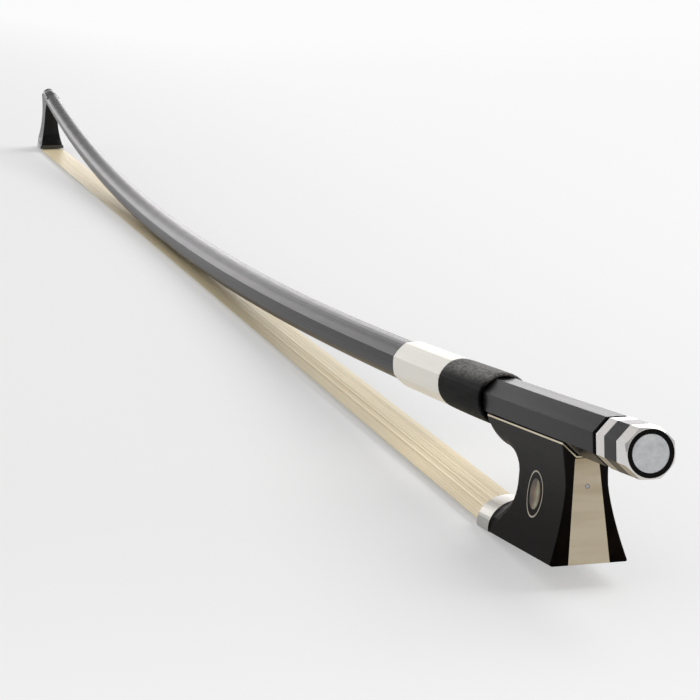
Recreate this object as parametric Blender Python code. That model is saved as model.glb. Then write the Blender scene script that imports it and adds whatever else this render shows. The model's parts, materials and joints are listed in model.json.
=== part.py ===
"""Violin bow, standing on its hair side as it would on a table.

All shapes are drawn in the handle's own frame: X runs along the handle towards the button, Z away from
the hair, and the origin lies under the frog's heel. The stance empty then tips the whole bow onto its
two feet, the front edge of the ferrule and the tip plate. Sizes are in metres.
"""

from math import atan2, cos, hypot, pi, radians, sin, sqrt, tan

import bmesh
import bpy
from mathutils import Vector

# Fits
GLUE_GAP = 0.00008
SEAT_GAP = 0.0003
RUNNING_GAP = 0.00025

# Stick
HANDLE_FLATS = 0.0086
AXIS_HEIGHT = 0.0240
HANDLE_END = 0.0154
HANDLE_END_BEVEL = 0.0002
SHAFT_START_DIAMETER = 0.0089
SHAFT_TIP_DIAMETER = 0.0055
TAPER_POWER = 2.9
OCTAGON_END = -0.0950
ROUND_START = -0.1110
NIPPLE_DIAMETER = 0.0060
NIPPLE_LENGTH = 0.0032
STICK_STATIONS = 38

# Camber, a curve that leaves the handle line at CAMBER_START and rises by TIP_RISE at the tip end
CAMBER_START = -0.0120
SHAFT_END = -0.6953
TIP_RISE = 0.0625
TIP_BIAS = 0.35

# Grip
WINDING_FAR_END = -0.1118
WINDING_FLATS = 0.0098
WINDING_ROUNDNESS = 0.5
WINDING_EDGE = 0.0003
LEATHER_FAR_END = -0.0762
LEATHER_NEAR_END = -0.0472
LEATHER_DIAMETER = 0.0106
LEATHER_LIP = 0.0005
LEATHER_EDGE = 0.0003
LEATHER_HOLLOW = 0.0014

# Head, in a frame of its own: a runs from the plate's heel towards the tip, h up from the plate's face
HEAD_HEEL_FROM_SHAFT_END = 0.0035
HEAD_HEEL_DROP = 0.0248
HEAD_PITCH = radians(5.47)
PLATE_LENGTH = 0.0245
PLATE_HALF_WIDTH = 0.0050
PLATE_TIP_HALF_WIDTH = 0.0013
PLATE_THICKNESS = 0.0008
LINER_THICKNESS = 0.0006
PLATE_HEEL_LIFT = 0.0013
PLATE_FLAT_START = 0.0120
HEAD_STATIONS = 20
BEAK_THICKNESS = 0.0016
HEAD_HEIGHT = 0.0272
HEAD_TOP_HALF_WIDTH = 0.0027
HEAD_RIDGE_HALF_WIDTH = 0.0005
HEAD_RIDGE_REACH = 0.0040
HEAD_THROAT_PULL = 0.0022
HEAD_THROAT_REACH = 0.0085
HEAD_MORTISE_START = 0.0060
HEAD_MORTISE_LENGTH = 0.0080
HEAD_MORTISE_HALF_WIDTH = 0.0028
HEAD_MORTISE_DEPTH = 0.0062
HEAD_MORTISE_TAPER = 0.72

# Frog
FROG_HALF_BASE = 0.00675
HEEL_HALF_BASE = 0.0074
FROG_HALF_WAIST = 0.00398
FROG_HALF_TOP = 0.00443
FROG_WAIST_HEIGHT = 0.0145
FROG_FLARE_POWER = 1.45
THUMB_TIP = -0.0443
THUMB_TIP_HEIGHT = 0.0206
THUMB_LENGTH = 0.0098
THUMB_UNDERSIDE = 0.0164
THROAT_BACK = -0.0272
THROAT_HEIGHT = 0.0120
THROAT_ROUNDING = 0.0009
THUMB_ROUNDING = 0.0026
SHOULDER_LENGTH = 0.0068
SHOULDER_ROUNDING = 0.0021
HEEL_BEVEL = 0.0004
FROG_LEVELS = 14
UNDERSLIDE_THICKNESS = 0.00025

# Ferrule
FERRULE_BACK = -0.0384
FERRULE_LENGTH = 0.0086
FERRULE_SIDE = 0.00035
FERRULE_ARCH = 0.0056
FERRULE_WALL = 0.00045
FERRULE_FRONT_SCALE = 0.95
TONGUE_FLOOR = 0.0034
TONGUE_SETBACK = 0.0012
WEDGE_SETBACK = 0.0006
WEDGE_HALF_WIDTH = 0.0054
WEDGE_TAPER = 0.0012
WEDGE_LENGTH = 0.0052
WEDGE_STATIONS = 8

# Heel plate and its leg
HEEL_PLATE_THICKNESS = 0.0006
HEEL_PLATE_HALF_TOP = 0.0022
HEEL_PLATE_HALF_BASE = 0.0039
HEEL_LEG_LENGTH = 0.0075
PIN_DIAMETER = 0.0007
PIN_LENGTH = 0.0035
HEEL_PIN_HEIGHT = 0.0140

# Side eyes
EYE_X = -0.0161
EYE_HEIGHT = 0.01055
EYE_RING_RADIUS = 0.0043
EYE_RING_WIDTH = 0.0003
EYE_PEARL_RADIUS = 0.0028
EYE_DEPTH = 0.0009
EYE_PROUD = 0.00004
EYE_GAP = 0.00005

# Slide under the frog
SLIDE_HALF_WIDTH = 0.0047
SLIDE_DOVETAIL = 0.0004
PEARL_THICKNESS = 0.0008
BACKING_THICKNESS = 0.0012
SLIDE_CEILING = PEARL_THICKNESS + BACKING_THICKNESS + 2 * GLUE_GAP

# Hair
HAIR_HALF_WIDTH_FROG = 0.0060
HAIR_HALF_WIDTH_HEAD = 0.0048
HAIR_THICKNESS = 0.0008
HAIR_LOCKS = 12
HAIR_EXIT_HEIGHT = 0.00110
HAIR_TURN_ROOM = 0.0010
FROG_MORTISE_START = -0.0310
FROG_MORTISE_LENGTH = 0.0085
FROG_MORTISE_HALF_WIDTH = 0.0042
FROG_MORTISE_TOP = 0.0068
HAIR_CHANNEL_TOP = 0.0034
KNOT_RADIUS = 0.0014

# Eyelet and screw
EYELET_X = -0.0210
EYELET_LENGTH = 0.0048
EYELET_WIDTH = 0.0040
EYELET_TOP = 0.0023
EYELET_SHANK_DIAMETER = 0.0028
EYELET_SHANK_DEPTH = 0.0068
SCREW_DIAMETER = 0.0028
SCREW_TIP = -0.0340
SCREW_PITCH = 0.0007
TANG_WIDTH = 0.0018
FROG_TRAVEL_SLACK = 0.00245
FROG_TRAVEL_TIGHT = 0.0063
LINING_SCREW_HEAD = 0.0020
LINING_SCREW_SHANK = 0.0011
LINING_SCREW_LENGTH = 0.0024
LINING_SCREW_FRONT = -0.0350
LINING_SCREW_BACK = -0.0050

# Button
BUTTON_FLATS = 0.0087
BUTTON_GAP = 0.0016
COLLAR_END = 0.02094
BARREL_END = 0.02676
BUTTON_FACE = 0.0316
BUTTON_CORE_RADIUS = 0.00404
BUTTON_CHAMFER = 0.00052
BUTTON_EYE_RADIUS = 0.00327
BUTTON_EYE_DEPTH = 0.0011
BUTTON_EYE_SINK = 0.00005
BUTTON_EDGE = 0.00012
BUTTON_FACE_RADIUS = 0.00420

TURN = tan(pi / 8)


def clear_scene():
    for found in list(bpy.data.objects):
        bpy.data.objects.remove(found, do_unlink=True)


def make_material(name, colour, roughness, metallic=0.0):
    made = bpy.data.materials.new(name)
    made.use_nodes = True
    shader = made.node_tree.nodes["Principled BSDF"]
    shader.inputs["Base Color"].default_value = (*colour, 1.0)
    shader.inputs["Roughness"].default_value = roughness
    shader.inputs["Metallic"].default_value = metallic
    return made


def make_empty(name, location, parent=None):
    made = bpy.data.objects.new(name, None)
    made.empty_display_size = 0.01
    bpy.context.scene.collection.objects.link(made)
    made.parent = parent
    made.location = location
    return made


def add_body(name, mesh, material, parent, smooth=True):
    """Adds a mesh drawn in the handle's frame under an empty that stands somewhere in that frame."""
    for face in mesh.faces:
        face.smooth = smooth
    bmesh.ops.recalc_face_normals(mesh, faces=mesh.faces[:])
    data = bpy.data.meshes.new(name)
    mesh.to_mesh(data)
    mesh.free()
    if smooth:
        data.set_sharp_from_angle(angle=radians(32))
    made = bpy.data.objects.new(name, data)
    bpy.context.scene.collection.objects.link(made)
    if material is not None:
        data.materials.append(material)
    made.parent = parent
    made.location = -Vector(parent.location) if parent.parent is not None else (0, 0, 0)
    return made


def add_cutter(name, mesh, parent):
    made = add_body(name, mesh, None, parent, smooth=False)
    made.hide_render = True
    made.display_type = "WIRE"
    return made


def combine(body, other, operation):
    modifier = body.modifiers.new(other.name, "BOOLEAN")
    modifier.operation = operation
    modifier.solver = "EXACT"
    modifier.object = other


def cut(body, *cutters):
    for cutter in cutters:
        combine(body, cutter, "DIFFERENCE")


def join_rings(mesh, rings, closed_ends=True):
    """Skins equal rings of points and caps the first and last."""
    rows = [[mesh.verts.new(point) for point in ring] for ring in rings]
    count = len(rows[0])
    for first, second in zip(rows, rows[1:]):
        for i in range(count):
            j = (i + 1) % count
            mesh.faces.new((first[i], first[j], second[j], second[i]))
    if closed_ends:
        mesh.faces.new(reversed(rows[0]))
        mesh.faces.new(rows[-1])
    return rows


def loft(rings):
    mesh = bmesh.new()
    join_rings(mesh, rings)
    return mesh


def sleeve(outer, inner):
    """A tube with a wall: equal outer and inner rings, joined at both ends."""
    mesh = bmesh.new()
    outside = join_rings(mesh, outer, closed_ends=False)
    inside = join_rings(mesh, [list(reversed(ring)) for ring in inner], closed_ends=False)
    count = len(outside[0])
    for end in (0, -1):
        for i in range(count):
            j = (i + 1) % count
            mesh.faces.new((outside[end][i], outside[end][j], inside[end][-1 - j], inside[end][-1 - i]))
    return mesh


def box(low, high):
    mesh = bmesh.new()
    corners = bmesh.ops.create_cube(mesh, size=1.0)["verts"]
    for corner in corners:
        corner.co = Vector(high[k] if corner.co[k] > 0 else low[k] for k in range(3))
    return mesh


def ring_about_x(x, radius_at, count, centre_z=AXIS_HEIGHT, turn=0.0):
    """Points round the handle's axis at x; radius_at gives the radius in each direction."""
    points = []
    for k in range(count):
        angle = turn + 2 * pi * k / count
        radius = radius_at(angle)
        points.append(Vector((x, radius * cos(angle), centre_z + radius * sin(angle))))
    return points


def octagon_radius(half_flats):
    def radius(angle):
        off_flat = (angle + pi / 8) % (pi / 4) - pi / 8
        return half_flats / cos(off_flat)

    return radius


def round_radius(value):
    return lambda angle: value


def soft_octagon_radius(half_flats, roundness):
    """An octagon with its corners eased by the given share towards a circle."""
    sharp = octagon_radius(half_flats)
    middle = half_flats * 1.025
    return lambda angle: sharp(angle) * (1 - roundness) + middle * roundness


def turned(profile, count=24, centre_z=AXIS_HEIGHT):
    """A solid turned about the handle's axis, from (x, radius) pairs."""
    return loft([ring_about_x(x, round_radius(radius), count, centre_z) for x, radius in profile])


def upright_cylinder(x, low, high, radius, count=16):
    angles = [2 * pi * k / count for k in range(count)]
    return loft([[Vector((x + radius * cos(a), radius * sin(a), z)) for a in angles] for z in (low, high)])


def bezier(start, pull_start, pull_end, end, count):
    """count + 1 points of one cubic curve in the XZ plane."""
    points = []
    for k in range(count + 1):
        t = k / count
        s = 1 - t
        weights = (s**3, 3 * s * s * t, 3 * s * t * t, t**3)
        points.append(tuple(
            sum(w * p[axis] for w, p in zip(weights, (start, pull_start, pull_end, end)))
            for axis in (0, 1)
        ))
    return points


def smooth_step(low, high, value):
    share = min(max((value - low) / (high - low), 0.0), 1.0)
    return share * share * (3 - 2 * share)


def slab(outline, insets, shares, levels, half_width):
    """A body that is symmetric about y = 0.

    outline is its side view in XZ, insets the vector from each outline point to the inner end of its
    rounding (None keeps that edge crisp), shares the rows across the rounding, levels the heights at
    which the side face is divided, and half_width(x, z, depth, reach) half its thickness.
    """
    flat = bmesh.new()
    depth_layer = flat.verts.layers.float.new("depth")
    reach_layer = flat.verts.layers.float.new("reach")
    outer = []
    for (x, z), inset in zip(outline, insets):
        corner = flat.verts.new((x, 0, z))
        corner[reach_layer] = hypot(*inset) if inset else 0.0
        outer.append(corner)
    rows = [outer]
    for share in shares:
        row = []
        for (x, z), inset, first in zip(outline, insets, outer):
            if inset is None:
                row.append(first)
                continue
            point = flat.verts.new((x + inset[0] * share, 0, z + inset[1] * share))
            point[reach_layer] = first[reach_layer]
            point[depth_layer] = first[reach_layer] * share
            row.append(point)
        rows.append(row)
    count = len(outline)
    for first, second in zip(rows, rows[1:]):
        for i in range(count):
            j = (i + 1) % count
            corners = list(dict.fromkeys((first[i], first[j], second[j], second[i])))
            if len(corners) > 2:
                flat.faces.new(corners)
    flat.faces.new(rows[-1])
    for height in levels:
        everything = flat.verts[:] + flat.edges[:] + flat.faces[:]
        bmesh.ops.bisect_plane(flat, geom=everything, dist=1e-7, plane_co=(0, 0, height), plane_no=(0, 0, 1))
    bmesh.ops.triangulate(flat, faces=flat.faces[:])
    solid = bmesh.new()
    near, far = {}, {}
    for vert in flat.verts:
        half = half_width(vert.co.x, vert.co.z, vert[depth_layer], vert[reach_layer])
        near[vert] = solid.verts.new((vert.co.x, -half, vert.co.z))
        far[vert] = solid.verts.new((vert.co.x, half, vert.co.z))
    for face in flat.faces:
        solid.faces.new([near[v] for v in face.verts])
        solid.faces.new([far[v] for v in reversed(face.verts)])
    for edge in flat.edges:
        if edge.is_boundary:
            a, b = edge.verts
            solid.faces.new((near[a], near[b], far[b], far[a]))
    flat.free()
    return solid


def inward_normals(points, reach_at):
    """Inset vectors square to a curve, towards the left of its direction."""
    found = []
    for k, point in enumerate(points):
        before = points[max(k - 1, 0)]
        after = points[min(k + 1, len(points) - 1)]
        along = (after[0] - before[0], after[1] - before[1])
        size = hypot(*along)
        reach = reach_at(k / (len(points) - 1))
        found.append((-along[1] / size * reach, along[0] / size * reach))
    return found


def camber_height(x):
    """Height of the stick's axis above the handle's line."""
    share = max((CAMBER_START - x) / (CAMBER_START - SHAFT_END), 0.0)
    return TIP_RISE * ((1 - TIP_BIAS) * share**2 + TIP_BIAS * share**4)


def camber_slope(x):
    step = 0.0005
    return (camber_height(x + step) - camber_height(x - step)) / (2 * step)


def stick_ring(x, radius_at, count):
    """A ring square to the cambered axis."""
    lean = atan2(camber_slope(x), 1.0)
    centre_z = AXIS_HEIGHT + camber_height(x)
    points = []
    for k in range(count):
        angle = 2 * pi * k / count
        radius = radius_at(angle)
        up = radius * sin(angle)
        points.append(Vector((x - up * sin(lean), radius * cos(angle), centre_z + up * cos(lean))))
    return points


def stick_half(x):
    """Half the flats of the handle, easing into the shaft's tapering radius."""
    along = (ROUND_START - x) / (ROUND_START - SHAFT_END)
    thinning = (SHAFT_START_DIAMETER - SHAFT_TIP_DIAMETER) * max(along, 0.0) ** TAPER_POWER
    shaft = (SHAFT_START_DIAMETER - thinning) / 2
    share = smooth_step(-OCTAGON_END, -ROUND_START, -x)
    return HANDLE_FLATS / 2 * (1 - share) + shaft * share


def stick_radius(x):
    share = smooth_step(-OCTAGON_END, -ROUND_START, -x)
    half = stick_half(x)
    sharp = octagon_radius(half)
    return lambda angle: sharp(angle) * (1 - share) + half * share


def head_origin():
    """The plate's heel in the handle's frame."""
    x = SHAFT_END + HEAD_HEEL_FROM_SHAFT_END
    height = AXIS_HEIGHT + camber_height(SHAFT_END) - HEAD_HEEL_DROP
    return x, height


def from_head(a, h):
    """A point of the head's own frame, in the handle's frame."""
    x, z = head_origin()
    return (
        x - a * cos(HEAD_PITCH) + h * sin(HEAD_PITCH),
        z + a * sin(HEAD_PITCH) + h * cos(HEAD_PITCH),
    )


def to_head(x, z):
    origin_x, origin_z = head_origin()
    dx, dz = x - origin_x, z - origin_z
    return (
        dz * sin(HEAD_PITCH) - dx * cos(HEAD_PITCH),
        dx * sin(HEAD_PITCH) + dz * cos(HEAD_PITCH),
    )


def head_point(a, y, h):
    x, z = from_head(a, h)
    return Vector((x, y, z))


def plate_face(a):
    """Height of the plate's face over the floor: level under the mortise, then down to the beak."""
    share = smooth_step(PLATE_FLAT_START, PLATE_LENGTH, a)
    return PLATE_HEEL_LIFT * (1 - share)


def plate_half_width(a):
    share = min(max(a / PLATE_LENGTH, 0.0), 1.0)
    return PLATE_TIP_HALF_WIDTH + (PLATE_HALF_WIDTH - PLATE_TIP_HALF_WIDTH) * sqrt(1 - share**2.6)


def plate_layer(under, over):
    """A curved layer of the head's sole, between two heights over the plate's face."""
    rings = []
    for k in range(HEAD_STATIONS + 1):
        a = PLATE_LENGTH * k / HEAD_STATIONS
        half = plate_half_width(a)
        low, high = plate_face(a) + under, plate_face(a) + over
        rings.append([head_point(a, -half, low), head_point(a, -half, high), head_point(a, half, high),
                      head_point(a, half, low)])
    return loft(rings)


def head_mortise(low, high, gap):
    """The hair's hole in the head, narrower towards the tip, between two heights over the floor."""
    rings = []
    for h in (low, high):
        ring = []
        for along, sign in ((0, -1), (1, -1), (1, 1), (0, 1)):
            a = HEAD_MORTISE_START + HEAD_MORTISE_LENGTH * along + gap * (2 * along - 1)
            half = HEAD_MORTISE_HALF_WIDTH * (HEAD_MORTISE_TAPER if along else 1) + gap
            ring.append(head_point(a, sign * half, h))
        rings.append(ring)
    return loft(rings)


SOLE = PLATE_THICKNESS + LINER_THICKNESS + 2 * GLUE_GAP


def head_outline():
    """The head's side view in its own frame and the reach of its rounding, from the plate's heel up."""
    shaft_a, shaft_h = to_head(SHAFT_END, AXIS_HEIGHT + camber_height(SHAFT_END))
    rear = bezier((0, plate_face(0) + SOLE), (HEAD_THROAT_PULL, shaft_h * 0.42), (0, shaft_h * 0.80),
                  (-HEAD_THROAT_REACH, shaft_h - SHAFT_TIP_DIAMETER * 0.45), 10)
    crown = bezier((-HEAD_THROAT_REACH, shaft_h + SHAFT_TIP_DIAMETER * 0.12), (shaft_a * 0.2, HEAD_HEIGHT),
                   (shaft_a, HEAD_HEIGHT), (shaft_a * 1.6, HEAD_HEIGHT * 0.945), 8)
    beak_h = plate_face(PLATE_LENGTH) + SOLE
    front = bezier((shaft_a * 1.6, HEAD_HEIGHT * 0.945), (PLATE_LENGTH * 0.56, HEAD_HEIGHT * 0.80),
                   (PLATE_LENGTH * 0.60, HEAD_HEIGHT * 0.30), (PLATE_LENGTH, beak_h + BEAK_THICKNESS), 14)
    sole = [(a, plate_face(a) + SOLE) for a in (PLATE_LENGTH * (1 - k / 12) for k in range(12))]
    return rear, crown, front, sole


def head_half_width(x, z, depth, reach):
    a, h = to_head(x, z)
    base = plate_half_width(min(max(a, 0.0), PLATE_LENGTH)) - GLUE_GAP
    share = min(max((h - SOLE) / (HEAD_HEIGHT * 0.62), 0.0), 1.0)
    full = base + (min(HEAD_TOP_HALF_WIDTH, base) - base) * (1 - (1 - share) ** 2.2)
    if reach > 0:
        edge = HEAD_RIDGE_HALF_WIDTH + (full - HEAD_RIDGE_HALF_WIDTH) * sin(pi / 2 * depth / reach)
        return max(min(full, edge), 0.0002)
    return full


def make_head_body():
    rear, crown, front, sole = head_outline()
    outline = rear + crown + front[1:] + sole
    size = len(rear) + len(crown)
    reaches = []
    for k in range(len(outline)):
        if k < len(rear):
            reaches.append(0.0009)
        elif k < size:
            reaches.append(0.0016)
        elif k < size + len(front) - 1:
            share = (k - size + 1) / (len(front) - 1)
            reaches.append(0.0016 + HEAD_RIDGE_REACH * sin(pi * min(share * 1.15, 1.0)) ** 0.7)
        else:
            reaches.append(0.0)
    placed = [from_head(a, h) for a, h in outline]
    insets = []
    last = len(placed)
    for k, point in enumerate(placed):
        if reaches[k] == 0.0:
            insets.append(None)
            continue
        before, after = placed[k - 1], placed[(k + 1) % last]
        along = (after[0] - before[0], after[1] - before[1])
        span = hypot(*along)
        insets.append((-along[1] / span * reaches[k], along[0] / span * reaches[k]))
    insets[0] = None
    levels = [from_head(0, h)[1] for h in (0.004, 0.006, 0.008, 0.011, 0.014, 0.017, 0.020, 0.023, 0.025)]
    return slab(placed, insets, (0.25, 0.5, 0.75, 1.0), levels, head_half_width)


# The frog


def side_width(x, z):
    """Half the frog's width: hollow sides with their waist at FROG_WAIST_HEIGHT, wider towards the heel."""
    if z < FROG_WAIST_HEIGHT:
        along = min(max((x - FERRULE_BACK) / -FERRULE_BACK, 0.0), 1.0)
        base = FROG_HALF_BASE + (HEEL_HALF_BASE - FROG_HALF_BASE) * along
        share = (FROG_WAIST_HEIGHT - z) / FROG_WAIST_HEIGHT
        return FROG_HALF_WAIST + (base - FROG_HALF_WAIST) * share**FROG_FLARE_POWER
    share = (z - FROG_WAIST_HEIGHT) / (TROUGH_RIM - FROG_WAIST_HEIGHT)
    return FROG_HALF_WAIST + (FROG_HALF_TOP - FROG_HALF_WAIST) * share**FROG_FLARE_POWER


STICK_FLAT = AXIS_HEIGHT - HANDLE_FLATS / 2
LINING_GAP = RUNNING_GAP
TROUGH_FLATS = HANDLE_FLATS / 2 + LINING_GAP + UNDERSLIDE_THICKNESS + GLUE_GAP
TROUGH_FLOOR = AXIS_HEIGHT - TROUGH_FLATS
TROUGH_RIM = TROUGH_FLOOR + FROG_HALF_TOP - TROUGH_FLATS * TURN
FROG_BLANK_TOP = AXIS_HEIGHT - TROUGH_FLATS * TURN - 0.0002
SHOULDER_TOP = FERRULE_SIDE + FERRULE_ARCH


def frog_half_width(x, z, depth, reach):
    side = side_width(x, z)
    if reach <= 0:
        return side
    left = max(reach - depth, 0.0)
    plain = side - (reach - sqrt(max(reach * reach - left * left, 0.0)))
    over = z - FERRULE_SIDE
    arch = over + depth
    dome = plain
    if over > 0 and arch > 0:
        dome = FROG_HALF_BASE * sqrt(max(1 - (over / arch) ** 2, 0.0))
    share = shoulder_share(x)
    if z > SHOULDER_TOP + 0.002:
        share = 0.0
    return max(min(side, plain * (1 - share) + dome * share), 0.0002)


def shoulder_share(x):
    """One at the ferrule, none from the throat on."""
    return 1 - smooth_step(FERRULE_BACK, FERRULE_BACK + SHOULDER_LENGTH, x)


def frog_outline():
    """The frog's side view and the inward reach of its rounded edges, from the ferrule round the heel."""
    bevel = HEEL_BEVEL
    points = [(FERRULE_BACK, 0.0), (0.0, 0.0), (0.0, FROG_BLANK_TOP), (THUMB_TIP, FROG_BLANK_TOP)]
    insets = [(0.0, bevel), (-bevel, bevel), (-bevel, 0.0), None]
    thumb_mid = (THUMB_TIP + THUMB_LENGTH, THUMB_UNDERSIDE)
    under_thumb = bezier((THUMB_TIP, THUMB_TIP_HEIGHT), (THUMB_TIP + 0.0012, THUMB_TIP_HEIGHT - 0.0021),
                         (THUMB_TIP + THUMB_LENGTH * 0.45, THUMB_UNDERSIDE + 0.0004), thumb_mid, 8)
    back = bezier(thumb_mid, (THUMB_TIP + THUMB_LENGTH * 1.42, THUMB_UNDERSIDE - 0.0003),
                  (THROAT_BACK, THUMB_UNDERSIDE - 0.0006), (THROAT_BACK, THROAT_HEIGHT), 8)
    foot = (FERRULE_BACK + SHOULDER_LENGTH, SHOULDER_TOP + 0.0008)
    down = bezier((THROAT_BACK, THROAT_HEIGHT), (THROAT_BACK, SHOULDER_TOP + 0.0032),
                  (foot[0] + 0.0026, foot[1] + 0.0005), foot, 8)
    shoulder = bezier(foot, (foot[0] - 0.0022, foot[1] - 0.0004), (FERRULE_BACK + 0.002, SHOULDER_TOP),
                      (FERRULE_BACK, SHOULDER_TOP), 6)
    spans = (
        (under_thumb, 0.0009, THUMB_ROUNDING),
        (back, THUMB_ROUNDING, THROAT_ROUNDING),
        (down, THROAT_ROUNDING, SHOULDER_ROUNDING),
        (shoulder, SHOULDER_ROUNDING, FERRULE_ARCH - 0.0001),
    )
    for number, (curve, reach_start, reach_end) in enumerate(spans):
        normals = inward_normals(curve, lambda t: reach_start + (reach_end - reach_start) * t)
        kept = curve if number == 0 else curve[1:]
        points += kept
        insets += normals if number == 0 else normals[1:]
    insets[4] = (0.0, 0.0009)
    insets[-1] = (0.0, -(FERRULE_ARCH - 0.0001))
    return points, insets


def octagon_prism(start, end, half_flats):
    return loft([ring_about_x(x, octagon_radius(half_flats), 8, turn=pi / 8) for x in (start, end)])


def taper_prism(x_low, x_high, levels):
    """A block whose half width follows (height, half width) pairs."""
    return loft([
        [Vector((x_low, -half, z)), Vector((x_high, -half, z)), Vector((x_high, half, z)),
         Vector((x_low, half, z))]
        for z, half in levels
    ])


def side_disc(radii, sign, outer_at, inner_y, count=40):
    """A disc set in the frog's side; its outer face follows the side, its back stands at inner_y."""
    mesh = bmesh.new()
    rows = []

    def row(radius, y_at):
        found = []
        for k in range(count):
            angle = 2 * pi * k / count
            x, z = EYE_X + radius * cos(angle), EYE_HEIGHT + radius * sin(angle)
            found.append(mesh.verts.new((x, sign * y_at(x, z), z)))
        return found

    rows.append(row(radii[-1], lambda x, z: inner_y))
    for radius in reversed(radii):
        rows.append(row(radius, outer_at))
    for first, second in zip(rows, rows[1:]):
        for i in range(count):
            j = (i + 1) % count
            mesh.faces.new((first[i], first[j], second[j], second[i]))
    mesh.faces.new(rows[0])
    mesh.faces.new(rows[-1])
    return mesh


def side_ring(inner, outer, sign, outer_at, inner_y, count=48):
    """A flat ring set in the frog's side."""
    mesh = bmesh.new()
    def back(x, z):
        return inner_y

    corners = ((outer, back), (outer, outer_at), (inner, outer_at), (inner, back))
    rows = []
    for radius, y_at in corners:
        found = []
        for k in range(count):
            angle = 2 * pi * k / count
            x, z = EYE_X + radius * cos(angle), EYE_HEIGHT + radius * sin(angle)
            found.append(mesh.verts.new((x, sign * y_at(x, z), z)))
        rows.append(found)
    for first, second in zip(rows, rows[1:] + rows[:1]):
        for i in range(count):
            j = (i + 1) % count
            mesh.faces.new((first[i], first[j], second[j], second[i]))
    return mesh


def ferrule_ring(x, scale, wall):
    """The D of the ferrule at x, inset by a wall."""
    points = []
    count = 28
    half = FROG_HALF_BASE * scale - wall
    arch = (FERRULE_SIDE + FERRULE_ARCH) * scale - FERRULE_SIDE - wall
    for k in range(count + 1):
        angle = pi * k / count
        points.append(Vector((x, half * cos(angle), FERRULE_SIDE + arch * sin(angle))))
    points.append(Vector((x, -half + 0.00012, wall)))
    points.append(Vector((x, half - 0.00012, wall)))
    return points


def ferrule_scale(x):
    share = (FERRULE_BACK - x) / FERRULE_LENGTH
    return 1 + (FERRULE_FRONT_SCALE - 1) * share


# The hair


def hair_line():
    """Start and end of the free hair's centre, at the ferrule's mouth and at the plate's heel."""
    start = (FERRULE_BACK - FERRULE_LENGTH + 0.0004, HAIR_EXIT_HEIGHT)
    end = from_head(0.0008, plate_face(0) - GLUE_GAP - HAIR_THICKNESS / 2)
    return start, end


def hair_path():
    """(x, z, half width) along the hair's centre, from the knot in the frog to the knot in the head."""
    start, end = hair_line()
    floor = SLIDE_CEILING + GLUE_GAP + HAIR_THICKNESS / 2
    knot_x, knot_z = frog_knot()
    path = []
    rise = bezier((knot_x, knot_z - KNOT_RADIUS - GLUE_GAP), (knot_x, floor + 0.0006),
                  (knot_x - 0.0002, floor), (FROG_MORTISE_START - 0.0012, floor), 7)
    path += [(x, z, FROG_MORTISE_HALF_WIDTH - 0.0004) for x, z in rise]
    drop = bezier((FERRULE_BACK + 0.0012, floor), (FERRULE_BACK - 0.0030, floor),
                  (start[0] + 0.0034, start[1]), start, 8)
    for k, (x, z) in enumerate(drop):
        share = k / 8
        half = FROG_MORTISE_HALF_WIDTH - 0.0004
        path.append((x, z, half + (HAIR_HALF_WIDTH_FROG - 0.0003 - half) * smooth_step(0, 1, share)))
    count = 10
    for k in range(1, count + 1):
        t = k / count
        half = HAIR_HALF_WIDTH_FROG + (HAIR_HALF_WIDTH_HEAD - HAIR_HALF_WIDTH_FROG) * t
        path.append((start[0] + (end[0] - start[0]) * t, start[1] + (end[1] - start[1]) * t, half))
    under = plate_face(0) - GLUE_GAP - HAIR_THICKNESS / 2
    inside = HEAD_MORTISE_START + HAIR_THICKNESS / 2 + GLUE_GAP + HAIR_TURN_ROOM
    bend = 0.0016
    knot_h = head_knot()[1]
    turn_up = bezier((inside - bend - 0.0014, under), (inside - 0.0004, under), (inside, under + 0.0004),
                     (inside, under + bend + 0.0004), 7)
    turn_up.append((inside, knot_h - KNOT_RADIUS - GLUE_GAP))
    narrow = HEAD_MORTISE_HALF_WIDTH - 0.0004
    for k, (a, h) in enumerate(turn_up):
        share = smooth_step(-0.12, 0.22, k / len(turn_up))
        x, z = from_head(a, h)
        path.append((x, z, HAIR_HALF_WIDTH_HEAD + (narrow - HAIR_HALF_WIDTH_HEAD) * share))
    return path


def hair_height(x):
    """Height of the hair's centre at a place inside the ferrule."""
    path = [spot for spot in hair_path() if spot[0] < FERRULE_BACK + 0.002]
    for first, second in zip(path, path[1:]):
        if second[0] <= x <= first[0]:
            share = (first[0] - x) / (first[0] - second[0])
            return first[1] + (second[1] - first[1]) * share
    return path[0][1]


def frog_knot():
    return FROG_MORTISE_START + KNOT_RADIUS + 0.0004, FROG_MORTISE_TOP - KNOT_RADIUS - 0.0003


def head_knot():
    top = SOLE + PLATE_HEEL_LIFT + HEAD_MORTISE_DEPTH
    return HEAD_MORTISE_START + KNOT_RADIUS + 0.0004, top - KNOT_RADIUS - 0.0003


def make_hair():
    path = hair_path()
    steps = 2 * HAIR_LOCKS
    rings = []
    for k, (x, z, half) in enumerate(path):
        before, after = path[max(k - 1, 0)], path[min(k + 1, len(path) - 1)]
        along = Vector((after[0] - before[0], 0, after[1] - before[1])).normalized()
        square = Vector((-along.z, 0, along.x))
        ring = []
        for side in (1, -1):
            for i in range(steps + 1):
                u = side * (2 * i / steps - 1)
                thick = HAIR_THICKNESS / 2 * (1.0 if i % 2 else 0.62)
                ring.append(Vector((x, u * half, z)) + square * thick * side)
        rings.append(ring)
    return loft(rings)


def drum(x, z, half_length, radius, count=20):
    """A bound knot lying across the bow, with three turns of thread standing on it."""
    rings = []
    stations = 24
    for k in range(stations + 1):
        y = half_length * (2 * k / stations - 1)
        ridge = 1 - 0.06 * (k % 2)
        end = 1 if 0 < k < stations else 0.8
        rings.append([
            Vector((x + radius * ridge * end * cos(a), y, z + radius * ridge * end * sin(a)))
            for a in (2 * pi * i / count for i in range(count))
        ])
    return loft(rings)


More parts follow.
